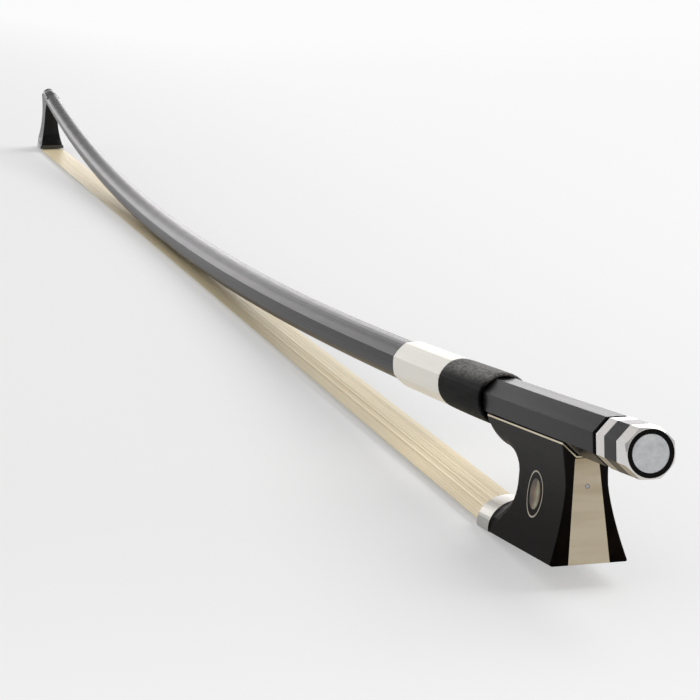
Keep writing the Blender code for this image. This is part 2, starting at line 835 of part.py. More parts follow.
def make_stick(frame, material):
    nipple = NIPPLE_DIAMETER / 2
    rings = [
        ring_about_x(HANDLE_END + NIPPLE_LENGTH, round_radius(nipple - 0.0002), 32),
        ring_about_x(HANDLE_END + NIPPLE_LENGTH - 0.0002, round_radius(nipple), 32),
        ring_about_x(HANDLE_END, round_radius(nipple), 32),
        ring_about_x(HANDLE_END, octagon_radius(HANDLE_FLATS / 2 - HANDLE_END_BEVEL), 32),
        ring_about_x(HANDLE_END - HANDLE_END_BEVEL, octagon_radius(HANDLE_FLATS / 2), 32),
    ]
    rings += [stick_ring(x, stick_radius(x), 32) for x in stick_stations()]
    stick = add_body("stick", loft(rings), material, frame)
    head = add_cutter("head_form", make_head_body(), frame)
    combine(stick, head, "UNION")
    bore = ScrewFit.bore
    end = HANDLE_END + NIPPLE_LENGTH + 0.001
    cut(
        stick,
        add_cutter("screw_bore", turned([(SCREW_TIP - 0.0006, bore), (end, bore)], 24), frame),
        add_cutter("eyelet_slot", box(
            (EYELET_X - FROG_TRAVEL_SLACK - EYELET_LENGTH / 2 - SEAT_GAP, -EYELET_WIDTH / 2 - RUNNING_GAP,
             STICK_FLAT - 0.002),
            (EYELET_X + FROG_TRAVEL_TIGHT + EYELET_LENGTH / 2 + SEAT_GAP, EYELET_WIDTH / 2 + RUNNING_GAP,
             AXIS_HEIGHT + EYELET_TOP + SEAT_GAP)), frame),
        add_cutter("head_mortise", head_mortise(-0.001, head_mortise_top(), 0.0), frame),
    )
    return stick


def stick_stations():
    """Where the stick's rings stand; the grip's ends are among them, so its sleeves follow the same skin."""
    fixed = [CAMBER_START, LEATHER_NEAR_END, LEATHER_FAR_END, OCTAGON_END, ROUND_START, WINDING_FAR_END]
    fixed += [OCTAGON_END + (ROUND_START - OCTAGON_END) * k / 4 for k in (1, 2, 3)]
    span = SHAFT_END - WINDING_FAR_END
    fixed += [WINDING_FAR_END + span * k / STICK_STATIONS for k in range(1, STICK_STATIONS + 1)]
    return sorted(set(fixed), reverse=True)


def grip_stations(near, far):
    return [near] + [x for x in stick_stations() if far < x < near] + [far]


def head_mortise_top():
    return PLATE_HEEL_LIFT + SOLE + HEAD_MORTISE_DEPTH


class ScrewFit:
    """Sizes of the screw's holes, from the screw."""

    bore = SCREW_DIAMETER / 2 + RUNNING_GAP
    thread_root = SCREW_DIAMETER / 2 - 0.0002
    nut = SCREW_DIAMETER / 2 + GLUE_GAP


def make_winding(frame, material):
    near, far = LEATHER_FAR_END - GLUE_GAP, WINDING_FAR_END
    outer, inner = [], []
    for x in grip_stations(near, far):
        edge = WINDING_EDGE if x in (near, far) else 0.0
        outer.append(stick_ring(x, soft_octagon_radius(WINDING_FLATS / 2 - edge, WINDING_ROUNDNESS), 32))
        bare = stick_radius(x)
        inner.append(stick_ring(x, lambda angle, bare=bare: bare(angle) + GLUE_GAP, 32))
    for end, step in ((0, -1), (-1, 1)):
        x = (near, far)[end] + step * WINDING_EDGE
        place = 1 if end == 0 else len(outer) - 1
        bare = stick_radius(x)
        outer.insert(place, stick_ring(x, soft_octagon_radius(WINDING_FLATS / 2, WINDING_ROUNDNESS), 32))
        inner.insert(place, stick_ring(x, lambda angle, bare=bare: bare(angle) + GLUE_GAP, 32))
    return add_body("winding", sleeve(outer, inner), material, frame)


def make_leather(frame, material):
    near, far = LEATHER_NEAR_END, LEATHER_FAR_END
    length = near - far
    hollow = LEATHER_HOLLOW / length
    spots = [(0.0, 0.55), (0.012, 0.2), (0.03, 0.0), (hollow, 0.0)] + [(k / 12, 0.0) for k in range(1, 12)]
    spots += [(0.985, 0.10), (1.0, 0.40)]
    outer, inner = [], []
    for share, rounding in spots:
        x = near - length * share
        bulge = 1 + 0.008 * sin(pi * share) - 0.012 * share
        radius = LEATHER_DIAMETER / 2 * bulge - LEATHER_LIP * rounding
        bare = stick_radius(x)
        open_to = radius - LEATHER_EDGE if share < hollow else 0.0

        def lined(angle, bare=bare, wide=open_to):
            return max(bare(angle) + GLUE_GAP, wide)

        outer.append(stick_ring(x, round_radius(radius), 32))
        inner.append(stick_ring(x, lined, 32))
    return add_body("thumb_leather", sleeve(outer, inner), material, frame)


def make_head_sole(frame, plate_material, liner_material):
    plate = add_body("head_plate", plate_layer(0.0, PLATE_THICKNESS), plate_material, frame)
    liner_low = PLATE_THICKNESS + GLUE_GAP
    liner_layer = plate_layer(liner_low, liner_low + LINER_THICKNESS)
    liner = add_body("head_liner", liner_layer, liner_material, frame)
    slot = add_cutter("head_plate_slot", head_mortise(-0.002, head_mortise_top(), 0.0), frame)
    cut(plate, slot)
    cut(liner, slot)


def make_head_lock(frame, wood, thread):
    a, h = head_knot()
    x, z = from_head(a, h)
    half = HEAD_MORTISE_HALF_WIDTH - 0.0004
    add_body("head_hair_knot", drum(x, z, half, KNOT_RADIUS), thread, frame)
    hair_back = HEAD_MORTISE_START + HAIR_THICKNESS + 2 * GLUE_GAP + HAIR_TURN_ROOM
    rings = []
    for height in (PLATE_HEEL_LIFT + 0.0003, h - KNOT_RADIUS - 0.0002):
        ring = []
        for along, sign in ((0, -1), (1, -1), (1, 1), (0, 1)):
            place = hair_back if not along else HEAD_MORTISE_START + HEAD_MORTISE_LENGTH - GLUE_GAP
            share = (place - HEAD_MORTISE_START) / HEAD_MORTISE_LENGTH
            wide = HEAD_MORTISE_HALF_WIDTH * (1 + (HEAD_MORTISE_TAPER - 1) * share) - GLUE_GAP
            ring.append(head_point(place, sign * wide, height))
        rings.append(ring)
    add_body("head_plug", loft(rings), wood, frame)


def side_cutter(name, radius_out, radius_in, sign, frame):
    """A round or annular pocket in the frog's side, EYE_DEPTH deep."""
    floor = side_width(EYE_X, EYE_HEIGHT) - EYE_DEPTH
    far = HEEL_HALF_BASE + 0.002
    count = 48
    rows = []
    mesh = bmesh.new()
    corners = ((radius_out, floor), (radius_out, far))
    if radius_in > 0:
        corners += ((radius_in, far), (radius_in, floor))
    for radius, y in corners:
        rows.append([
            mesh.verts.new((EYE_X + radius * cos(a), sign * y, EYE_HEIGHT + radius * sin(a)))
            for a in (2 * pi * k / count for k in range(count))
        ])
    pairs = list(zip(rows, rows[1:]))
    if radius_in > 0:
        pairs.append((rows[-1], rows[0]))
    for first, second in pairs:
        for i in range(count):
            j = (i + 1) % count
            mesh.faces.new((first[i], first[j], second[j], second[i]))
    if radius_in <= 0:
        mesh.faces.new(rows[0])
        mesh.faces.new(rows[-1])
    return add_cutter(name, mesh, frame)


def slide_block(name, low, high, gap, frame, cutter=False):
    """Part of the dovetailed slide between two heights."""
    def half(z):
        return SLIDE_HALF_WIDTH + SLIDE_DOVETAIL * z / SLIDE_CEILING + gap

    mesh = taper_prism(FERRULE_BACK + (GLUE_GAP if not cutter else -0.001),
                       -HEEL_LEG_LENGTH - (GLUE_GAP * 2 if not cutter else -0.0005),
                       [(low, half(low)), (high, half(high))])
    return add_cutter(name, mesh, frame) if cutter else mesh


def make_frog(frog, colours):
    points, insets = frog_outline()
    levels = [FROG_BLANK_TOP * k / FROG_LEVELS for k in range(1, FROG_LEVELS)]
    shares = [1 - cos(pi / 2 * k / 4) for k in (1, 2, 3, 4)]
    blank = slab(points, insets, shares, levels, frog_half_width)
    body = add_body("frog_body", blank, colours["ebony"], frog)

    tongue = loft([
        tongue_ring(FERRULE_BACK + 0.0005),
        tongue_ring(FERRULE_BACK - FERRULE_LENGTH + TONGUE_SETBACK),
    ])
    combine(body, add_cutter("tongue_form", tongue, frog), "UNION")

    low_inner = FROG_MORTISE_START
    mortise_end = FROG_MORTISE_START + FROG_MORTISE_LENGTH
    mortise_half = FROG_MORTISE_HALF_WIDTH
    pin_hole = PIN_DIAMETER / 2 + GLUE_GAP
    cutters = [
        add_cutter("trough", octagon_prism(THUMB_TIP - 0.004, 0.004, TROUGH_FLATS), frog),
        slide_block("slide_channel", -0.001, SLIDE_CEILING + GLUE_GAP, GLUE_GAP, frog, cutter=True),
        add_cutter("hair_channel", box((FERRULE_BACK - 0.001, -mortise_half, SLIDE_CEILING - 0.0002),
                                       (low_inner + 0.0005, mortise_half, HAIR_CHANNEL_TOP)), frog),
        add_cutter("hair_mortise", box((low_inner, -mortise_half, SLIDE_CEILING - 0.0004),
                                       (mortise_end, mortise_half, FROG_MORTISE_TOP)), frog),
        add_cutter("eyelet_hole", upright_cylinder(EYELET_X, TROUGH_FLOOR - EYELET_SHANK_DEPTH - 0.0003,
                                                   AXIS_HEIGHT, EYELET_SHANK_DIAMETER / 2 + GLUE_GAP), frog),
        add_cutter("leg_seat", box((-HEEL_LEG_LENGTH - GLUE_GAP, -HEEL_PLATE_HALF_BASE - GLUE_GAP, -0.001),
                                   (0.001, HEEL_PLATE_HALF_BASE + GLUE_GAP,
                                    HEEL_PLATE_THICKNESS + GLUE_GAP)), frog),
        add_cutter("plate_seat", taper_prism(-HEEL_PLATE_THICKNESS - GLUE_GAP, 0.001, [
            (-0.001, plate_half(-0.001) + GLUE_GAP),
            (TROUGH_FLOOR + 0.001, plate_half(TROUGH_FLOOR + 0.001) + GLUE_GAP)]), frog),
        add_cutter("heel_pin_hole", turned([(-PIN_LENGTH - GLUE_GAP, pin_hole), (0.001, pin_hole)], 16,
                                           HEEL_PIN_HEIGHT), frog),
        add_cutter("leg_pin_hole", upright_cylinder(-HEEL_LEG_LENGTH / 2, -0.001, PIN_LENGTH + GLUE_GAP,
                                                    pin_hole), frog),
    ]
    for sign, side in ((-1, "near"), (1, "far")):
        cutters.append(side_cutter("pearl_pocket_" + side, EYE_PEARL_RADIUS + EYE_GAP, 0.0, sign, frog))
        cutters.append(side_cutter("ring_groove_" + side, EYE_RING_RADIUS + EYE_GAP,
                                   EYE_RING_RADIUS - EYE_RING_WIDTH - EYE_GAP, sign, frog))
    for place, x in (("front", LINING_SCREW_FRONT), ("back", LINING_SCREW_BACK)):
        cutters.append(add_cutter("lining_screw_hole_" + place, upright_cylinder(
            x, lining_screw_foot() - GLUE_GAP, AXIS_HEIGHT, LINING_SCREW_SHANK / 2 + GLUE_GAP), frog))
    cut(body, *cutters)

    def outer_at(x, z):
        return side_width(x, z) + EYE_PROUD

    floor = side_width(EYE_X, EYE_HEIGHT) - EYE_DEPTH + EYE_GAP
    for sign, side in ((-1, "near"), (1, "far")):
        radii = [EYE_PEARL_RADIUS * share for share in (0.25, 0.5, 0.75, 1.0)]
        add_body("eye_pearl_" + side, side_disc(radii, sign, outer_at, floor), colours["pearl"], frog)
        ring = side_ring(EYE_RING_RADIUS - EYE_RING_WIDTH, EYE_RING_RADIUS, sign, outer_at, floor)
        add_body("eye_ring_" + side, ring, colours["silver"], frog)

    pearl = slide_block("pearl_slide", 0.0, PEARL_THICKNESS, 0.0, frog)
    add_body("pearl_slide", pearl, colours["pearl"], frog)
    backing = slide_block("slide_backing", PEARL_THICKNESS + GLUE_GAP, SLIDE_CEILING - GLUE_GAP, 0.0, frog)
    add_body("slide_backing", backing, colours["ebony"], frog)

    knot_x, knot_z = frog_knot()
    add_body("frog_hair_knot", drum(knot_x, knot_z, mortise_half - 0.0004, KNOT_RADIUS), colours["thread"],
             frog)
    plug_half = mortise_half - GLUE_GAP
    plug = box((knot_x + KNOT_RADIUS + GLUE_GAP, -plug_half, SLIDE_CEILING + GLUE_GAP * 2),
               (mortise_end - GLUE_GAP, plug_half, FROG_MORTISE_TOP - GLUE_GAP))
    add_body("frog_plug", plug, colours["maple"], frog)


def plate_half(z):
    share = z / TROUGH_FLOOR
    return HEEL_PLATE_HALF_BASE + (HEEL_PLATE_HALF_TOP - HEEL_PLATE_HALF_BASE) * share


def tongue_ring(x):
    """The ebony tongue that the ferrule is pushed over, a D above the wedge."""
    scale = ferrule_scale(x)
    gap = FERRULE_WALL + GLUE_GAP
    half = FROG_HALF_BASE * scale - gap
    arch = (FERRULE_SIDE + FERRULE_ARCH) * scale - FERRULE_SIDE - gap
    start = atan2(TONGUE_FLOOR - FERRULE_SIDE, sqrt(max(arch**2 - (TONGUE_FLOOR - FERRULE_SIDE) ** 2, 1e-12)))
    count = 20
    points = []
    for k in range(count + 1):
        angle = start + (pi - 2 * start) * k / count
        points.append(Vector((x, half * cos(angle), FERRULE_SIDE + arch * sin(angle))))
    return points


def lining_screw_foot():
    return TROUGH_FLOOR - LINING_SCREW_LENGTH


def make_frog_metal(frog, colours):
    front = FERRULE_BACK - FERRULE_LENGTH
    stations = [FERRULE_BACK - GLUE_GAP, front + 0.0002, front]
    outer = [ferrule_ring(x, ferrule_scale(x), wall)
             for x, wall in zip(stations, (0.0, 0.0, 0.00015))]
    inner = [ferrule_ring(x, ferrule_scale(x), FERRULE_WALL) for x in stations]
    add_body("ferrule", sleeve(outer, inner), colours["silver"], frog)

    mouth = front + WEDGE_SETBACK
    top = TONGUE_FLOOR - GLUE_GAP
    rings = []
    for k in range(WEDGE_STATIONS + 1):
        x = mouth + WEDGE_LENGTH * k / WEDGE_STATIONS
        low = min(hair_height(x) + HAIR_THICKNESS * 0.56 + GLUE_GAP, top - 0.0002)
        lean = WEDGE_TAPER * (1 - (low - HAIR_EXIT_HEIGHT) / (top - HAIR_EXIT_HEIGHT))
        half, narrow = WEDGE_HALF_WIDTH - WEDGE_TAPER + lean, WEDGE_HALF_WIDTH - WEDGE_TAPER
        rings.append([Vector((x, -half, low)), Vector((x, half, low)), Vector((x, narrow, top)),
                      Vector((x, -narrow, top))])
    add_body("ferrule_wedge", loft(rings), colours["maple"], frog)

    inside = HANDLE_FLATS / 2 + LINING_GAP
    outside = inside + UNDERSLIDE_THICKNESS
    strip = []
    for half_flats, direction in ((inside, 1), (outside, -1)):
        corner = half_flats * TURN
        low = AXIS_HEIGHT - half_flats
        rim = low + FROG_HALF_TOP - corner
        run = [(-FROG_HALF_TOP, rim), (-corner, low), (corner, low), (FROG_HALF_TOP, rim)]
        strip += run[::direction]
    lining = loft([[Vector((x, y, z)) for y, z in strip] for x in (THUMB_TIP, 0.0)])
    underslide = add_body("underslide", lining, colours["silver"], frog)
    holes = [add_cutter("lining_eyelet_hole", upright_cylinder(
        EYELET_X, TROUGH_FLOOR - 0.001, STICK_FLAT, EYELET_SHANK_DIAMETER / 2 + GLUE_GAP, 24), frog)]
    for place, x in (("front", LINING_SCREW_FRONT), ("back", LINING_SCREW_BACK)):
        holes.append(add_cutter("lining_hole_" + place, upright_cylinder(
            x, TROUGH_FLOOR - 0.001, STICK_FLAT, LINING_SCREW_HEAD / 2 + GLUE_GAP, 20), frog))
        low = TROUGH_FLOOR + GLUE_GAP / 2
        foot, shank, head = lining_screw_foot(), LINING_SCREW_SHANK / 2, LINING_SCREW_HEAD / 2
        profile = ((foot, shank * 0.6), (foot + 0.0006, shank), (low, shank), (low, head),
                   (low + UNDERSLIDE_THICKNESS - 0.00002, head))
        rings = [[Vector((x + r * cos(a), r * sin(a), z)) for a in (2 * pi * k / 20 for k in range(20))]
                 for z, r in profile]
        add_body("underslide_screw_" + place, loft(rings), colours["steel"], frog)
    cut(underslide, *holes)

    thick = HEEL_PLATE_THICKNESS
    top = TROUGH_FLOOR - GLUE_GAP
    low, high = HEEL_PLATE_HALF_BASE, plate_half(top)
    path = [((-HEEL_LEG_LENGTH, 0.0), (-HEEL_LEG_LENGTH, thick), low), ((0.0, 0.0), (-thick, thick), low),
            ((0.0, top), (-thick, top), high)]
    rings = []
    for (ax, az), (bx, bz), half in path:
        rings.append([Vector((ax, -half, az)), Vector((bx, -half, bz)), Vector((bx, half, bz)),
                      Vector((ax, half, az))])
    heel = add_body("heel_plate", loft(rings), colours["silver"], frog)
    pin_hole = PIN_DIAMETER / 2 + GLUE_GAP
    plate_hole = turned([(-0.003, pin_hole), (0.002, pin_hole)], 16, HEEL_PIN_HEIGHT)
    leg_hole = upright_cylinder(-HEEL_LEG_LENGTH / 2, -0.002, 0.003, pin_hole)
    cut(
        heel,
        add_cutter("plate_pin_hole", plate_hole, frog),
        add_cutter("plate_leg_pin_hole", leg_hole, frog),
    )
    add_body("heel_pin", turned([(-PIN_LENGTH, PIN_DIAMETER / 2), (-0.00001, PIN_DIAMETER / 2)], 16,
                                HEEL_PIN_HEIGHT), colours["silver"], frog)
    add_body("heel_leg_pin", upright_cylinder(-HEEL_LEG_LENGTH / 2, 0.00001, PIN_LENGTH, PIN_DIAMETER / 2),
             colours["silver"], frog)


def make_eyelet(frog, material):
    low = TROUGH_FLOOR + UNDERSLIDE_THICKNESS + 0.0003
    high = AXIS_HEIGHT + EYELET_TOP
    body = box((EYELET_X - EYELET_LENGTH / 2, -EYELET_WIDTH / 2, low),
               (EYELET_X + EYELET_LENGTH / 2, EYELET_WIDTH / 2, high))
    eyelet = add_body("eyelet", body, material, frog, smooth=False)
    shank = upright_cylinder(EYELET_X, TROUGH_FLOOR - EYELET_SHANK_DEPTH, low + 0.0005,
                             EYELET_SHANK_DIAMETER / 2, 24)
    combine(eyelet, add_cutter("eyelet_shank", shank, frog), "UNION")
    cut(eyelet, add_cutter("eyelet_thread", turned([(EYELET_X - 0.005, ScrewFit.nut), (EYELET_X + 0.005,
                                                    ScrewFit.nut)], 24), frog))


def make_button(button, colours):
    shaft = SCREW_DIAMETER / 2
    front = HANDLE_END + BUTTON_GAP
    square = TANG_WIDTH / 2
    thread_end = EYELET_X + FROG_TRAVEL_TIGHT + EYELET_LENGTH
    turns = int((thread_end - SCREW_TIP) / SCREW_PITCH)
    rings = []
    for k in range(turns):
        x = SCREW_TIP + SCREW_PITCH * k
        rings.append(ring_about_x(x, round_radius(ScrewFit.thread_root), 16))
        rings.append(ring_about_x(x + SCREW_PITCH / 2, round_radius(shaft), 16))
    rings.append(ring_about_x(SCREW_TIP + SCREW_PITCH * turns, round_radius(ScrewFit.thread_root), 16))
    rings.append(ring_about_x(thread_end + 0.001, round_radius(shaft), 16))
    tang_start, tang_end = COLLAR_END - 0.0008, BARREL_END - 0.0008
    rings.append(ring_about_x(tang_start, round_radius(shaft), 16))

    def tang(angle):
        off = (angle + pi / 4) % (pi / 2) - pi / 4
        return square / cos(off)

    rings.append(ring_about_x(tang_start, tang, 16))
    rings.append(ring_about_x(tang_end, tang, 16))
    add_body("adjusting_screw", loft(rings), colours["steel"], button)

    half = BUTTON_FLATS / 2
    collar_rings = [
        ring_about_x(front, octagon_radius(half - BUTTON_EDGE), 48),
        ring_about_x(front + BUTTON_EDGE, octagon_radius(half), 48),
        ring_about_x(COLLAR_END - BUTTON_EDGE, octagon_radius(half), 48),
        ring_about_x(COLLAR_END, octagon_radius(half - BUTTON_EDGE), 48),
    ]
    collar = add_body("button_collar", loft(collar_rings), colours["silver"], button)
    recess_end = HANDLE_END + NIPPLE_LENGTH + SEAT_GAP
    recess = NIPPLE_DIAMETER / 2 + RUNNING_GAP
    cut(
        collar,
        add_cutter("nipple_recess", turned([(front - 0.001, recess), (recess_end, recess)], 32), button),
        add_cutter("collar_hole", turned([(recess_end - 0.001, shaft + GLUE_GAP), (COLLAR_END + 0.001,
                                          shaft + GLUE_GAP)], 24), button),
    )

    core = BUTTON_CORE_RADIUS
    barrel_rings = [
        ring_about_x(COLLAR_END + GLUE_GAP, octagon_radius(half - BUTTON_EDGE / 2), 48),
        ring_about_x(COLLAR_END + GLUE_GAP + BUTTON_EDGE / 2, octagon_radius(half), 48),
        ring_about_x(BARREL_END - BUTTON_EDGE / 2, octagon_radius(half), 48),
        ring_about_x(BARREL_END, octagon_radius(half - BUTTON_EDGE / 2), 48),
        ring_about_x(BARREL_END, round_radius(core), 48),
        ring_about_x(BUTTON_FACE - BUTTON_EYE_SINK, round_radius(core), 48),
    ]
    barrel = add_body("button_barrel", loft(barrel_rings), colours["ebony"], button)
    pocket = BUTTON_EYE_RADIUS + GLUE_GAP
    tang_room = square + GLUE_GAP
    cut(
        barrel,
        add_cutter("tang_hole", box((COLLAR_END - 0.001, -tang_room, AXIS_HEIGHT - tang_room),
                                    (tang_end + SEAT_GAP, tang_room, AXIS_HEIGHT + tang_room)), button),
        add_cutter("button_eye_pocket", turned([(BUTTON_FACE - BUTTON_EYE_DEPTH - GLUE_GAP, pocket),
                                                (BUTTON_FACE + 0.001, pocket)], 48), button),
    )

    chamfer = BUTTON_CHAMFER
    end_outer = [
        ring_about_x(BARREL_END + GLUE_GAP, octagon_radius(half - BUTTON_EDGE), 48),
        ring_about_x(BARREL_END + GLUE_GAP + BUTTON_EDGE, octagon_radius(half), 48),
        ring_about_x(BUTTON_FACE - chamfer, octagon_radius(half), 48),
        ring_about_x(BUTTON_FACE, round_radius(BUTTON_FACE_RADIUS), 48),
    ]
    end_inner = [ring_about_x(ring[0].x, round_radius(core + GLUE_GAP), 48) for ring in end_outer]
    steep = chamfer / (half / cos(pi / 8) - BUTTON_FACE_RADIUS)
    for point in end_outer[2]:
        point.x = BUTTON_FACE - (hypot(point.y, point.z - AXIS_HEIGHT) - BUTTON_FACE_RADIUS) * steep
    add_body("button_end_ring", sleeve(end_outer, end_inner), colours["silver"], button)
    add_body("button_eye", turned([(BUTTON_FACE - BUTTON_EYE_DEPTH, BUTTON_EYE_RADIUS),
                                   (BUTTON_FACE - BUTTON_EYE_SINK * 2, BUTTON_EYE_RADIUS),
                                   (BUTTON_FACE - BUTTON_EYE_SINK, BUTTON_EYE_RADIUS - 0.00006)], 48),
             colours["pearl"], button)


def stance_angle():
    """Slope of the floor in the handle's frame: the least rise from the ferrule's edge to the head's sole."""
    foot = FERRULE_BACK - FERRULE_LENGTH
    slopes = []
    for k in range(HEAD_STATIONS + 1):
        a = PLATE_LENGTH * k / HEAD_STATIONS
        x, z = from_head(a, plate_face(a))
        slopes.append(atan2(z, foot - x))
    return min(slopes)


def settle(stance):
    """Sets the bow on the floor with its origin under the middle of its outline."""
    bpy.context.view_layer.update()
    graph = bpy.context.evaluated_depsgraph_get()
    low = [1.0, 1.0, 1.0]
    high = [-1.0, -1.0, -1.0]
    for found in bpy.data.objects:
        if found.type != "MESH" or found.hide_render:
            continue
        solid = found.evaluated_get(graph)
        for vertex in solid.data.vertices:
            point = solid.matrix_world @ vertex.co
            for k in range(3):
                low[k] = min(low[k], point[k])
                high[k] = max(high[k], point[k])
    stance.location = (-(low[0] + high[0]) / 2, -(low[1] + high[1]) / 2, -low[2])
    bpy.context.view_layer.update()


def main():
    clear_scene()
    colours = {
        "carbon": make_material("carbon", (0.035, 0.034, 0.036), 0.16),
        "ebony": make_material("ebony", (0.018, 0.016, 0.016), 0.28),
        "silver": make_material("silver", (0.82, 0.81, 0.76), 0.22, 1.0),
        "steel": make_material("steel", (0.52, 0.52, 0.52), 0.3, 1.0),
        "brass": make_material("brass", (0.74, 0.56, 0.26), 0.3, 1.0),
        "pearl": make_material("pearl", (0.78, 0.78, 0.79), 0.25),
        "leather": make_material("leather", (0.03, 0.03, 0.03), 0.55),
        "winding": make_material("winding", (0.86, 0.84, 0.76), 0.35),
        "maple": make_material("maple", (0.66, 0.50, 0.32), 0.6),
        "thread": make_material("thread", (0.62, 0.10, 0.08), 0.7),
        "hair": make_material("hair", (0.72, 0.64, 0.48), 0.5),
        "plate": make_material("plate", (0.05, 0.05, 0.05), 0.3),
        "liner": make_material("liner", (0.02, 0.02, 0.02), 0.5),
    }
    stance = make_empty("stance", (0, 0, 0))
    stance.rotation_euler = (0, -stance_angle(), 0)
    frog = make_empty("frog_slide_axis", (0, 0, AXIS_HEIGHT), stance)
    button = make_empty("button_axis", (HANDLE_END, 0, AXIS_HEIGHT), stance)

    make_stick(stance, colours["carbon"])
    make_winding(stance, colours["winding"])
    make_leather(stance, colours["leather"])
    make_head_sole(stance, colours["plate"], colours["liner"])
    make_head_lock(stance, colours["maple"], colours["thread"])
    add_body("hair_ribbon", make_hair(), colours["hair"], stance)
    make_frog(frog, colours)
    make_frog_metal(frog, colours)
    make_eyelet(frog, colours["brass"])
    make_button(button, colours)
    settle(stance)


main()
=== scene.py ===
"""Dresses a violin bow: finishes for every piece of the bow, its hair as single strands, and its stage."""

import json
import math
import random

import bmesh
import bpy
from mathutils import Matrix, Vector


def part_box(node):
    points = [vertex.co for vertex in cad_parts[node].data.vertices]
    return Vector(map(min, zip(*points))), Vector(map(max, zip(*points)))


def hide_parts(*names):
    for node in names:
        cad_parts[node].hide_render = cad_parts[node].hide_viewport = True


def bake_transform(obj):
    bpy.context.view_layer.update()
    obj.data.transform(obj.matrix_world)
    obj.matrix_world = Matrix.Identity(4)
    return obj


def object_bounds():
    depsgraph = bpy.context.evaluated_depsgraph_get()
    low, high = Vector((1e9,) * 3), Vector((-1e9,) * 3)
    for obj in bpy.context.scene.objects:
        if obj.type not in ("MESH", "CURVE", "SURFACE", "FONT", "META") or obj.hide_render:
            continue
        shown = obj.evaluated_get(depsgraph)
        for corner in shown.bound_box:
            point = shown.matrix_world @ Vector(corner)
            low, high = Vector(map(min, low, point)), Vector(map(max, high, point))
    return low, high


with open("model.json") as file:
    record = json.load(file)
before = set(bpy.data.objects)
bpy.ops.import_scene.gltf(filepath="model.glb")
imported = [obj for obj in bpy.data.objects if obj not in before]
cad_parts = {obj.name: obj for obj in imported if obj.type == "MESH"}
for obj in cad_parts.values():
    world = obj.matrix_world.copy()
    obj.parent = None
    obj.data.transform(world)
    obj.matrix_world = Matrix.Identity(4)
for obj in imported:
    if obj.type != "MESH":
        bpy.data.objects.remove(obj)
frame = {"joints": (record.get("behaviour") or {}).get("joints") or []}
CAD_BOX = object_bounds()

bl_info = {
    "name": "Violin bow dressing",
    "version": (1, 0, 0),
    "blender": (4, 5, 0),
    "location": "3D View > Sidebar > Bow",
    "description": "Finishes, hair and stage for a violin bow that stands on its hair side",
    "category": "Object",
}

# The handle's own frame: x along the handle towards the button, z away from the hair, origin at the heel
SLIDE = next(joint for joint in frame["joints"] if joint["name"] == "frog_slide")
HANDLE_PITCH = math.atan2(SLIDE["axis"][2], SLIDE["axis"][0])
AXIS_HEIGHT = 0.0240
HANDLE_TURN = Matrix.Rotation(-HANDLE_PITCH, 4, "Y")
HANDLE_ORIGIN = Vector(SLIDE["pos_m"]) - HANDLE_TURN @ Vector((0, 0, AXIS_HEIGHT))
TO_WORLD = Matrix.Translation(HANDLE_ORIGIN) @ HANDLE_TURN
FROM_WORLD = TO_WORLD.inverted()


def handle_point(x, y, z):
    return TO_WORLD @ Vector((x, y, z))


class Value:
    """A number that runs through the shader; arithmetic on it adds Math nodes."""

    def __init__(self, shader, socket):
        self.shader = shader
        self.socket = socket

    def _math(self, operation, *others):
        values = {0: self}
        values.update({k + 1: other for k, other in enumerate(others)})
        return self.shader.node("ShaderNodeMath", {"operation": operation}, values)

    def __add__(self, other):
        return self._math("ADD", other)

    def __radd__(self, other):
        return self._math("ADD", other)

    def __sub__(self, other):
        return self._math("SUBTRACT", other)

    def __rsub__(self, other):
        return (self * -1.0)._math("ADD", other)

    def __mul__(self, other):
        return self._math("MULTIPLY", other)

    def __rmul__(self, other):
        return self._math("MULTIPLY", other)

    def sine(self):
        return self._math("SINE")

    def size(self):
        return self._math("ABSOLUTE")

    def most(self, other):
        return self._math("MAXIMUM", other)

    def least(self, other):
        return self._math("MINIMUM", other)

    def ramp(self, low, high, start=0.0, end=1.0):
        """Runs smoothly from start to end while this value runs from low to high."""
        return self.shader.node(
            "ShaderNodeMapRange",
            {"interpolation_type": "SMOOTHSTEP", "clamp": True},
            {0: self, 1: low, 2: high, 3: start, 4: end},
        )


class Graph:
    """A node tree that is built in Python expressions."""

    def __init__(self, tree):
        self.tree = tree

    def node(self, kind, settings, values, output=0):
        made = self.tree.nodes.new(kind)
        for name, value in settings.items():
            if name == "stops":
                self._set_stops(made.color_ramp, value)
            else:
                setattr(made, name, value)
        for key, value in values.items():
            self.feed(made.inputs[key], value)
        return Value(self, made.outputs[output])

    @staticmethod
    def _set_stops(ramp, stops):
        while len(ramp.elements) < len(stops):
            ramp.elements.new(0.5)
        for element, (place, colour) in zip(ramp.elements, stops):
            element.position = place
            element.color = (*colour, 1.0)

    def feed(self, socket, value):
        if isinstance(value, Value):
            self.tree.links.new(value.socket, socket)
        elif isinstance(value, tuple) and len(value) == 3 and socket.type == "RGBA":
            socket.default_value = (*value, 1.0)
        else:
            socket.default_value = value

    def part_of(self, vector, axis):
        split = self.tree.nodes.new("ShaderNodeSeparateXYZ")
        self.tree.links.new(vector.socket, split.inputs[0])
        return Value(self, split.outputs["XYZ".index(axis)])

    def blend(self, factor, first, second):
        return self.node(
            "ShaderNodeMix", {"data_type": "RGBA"}, {"Factor": factor, 6: first, 7: second}, 2
        )


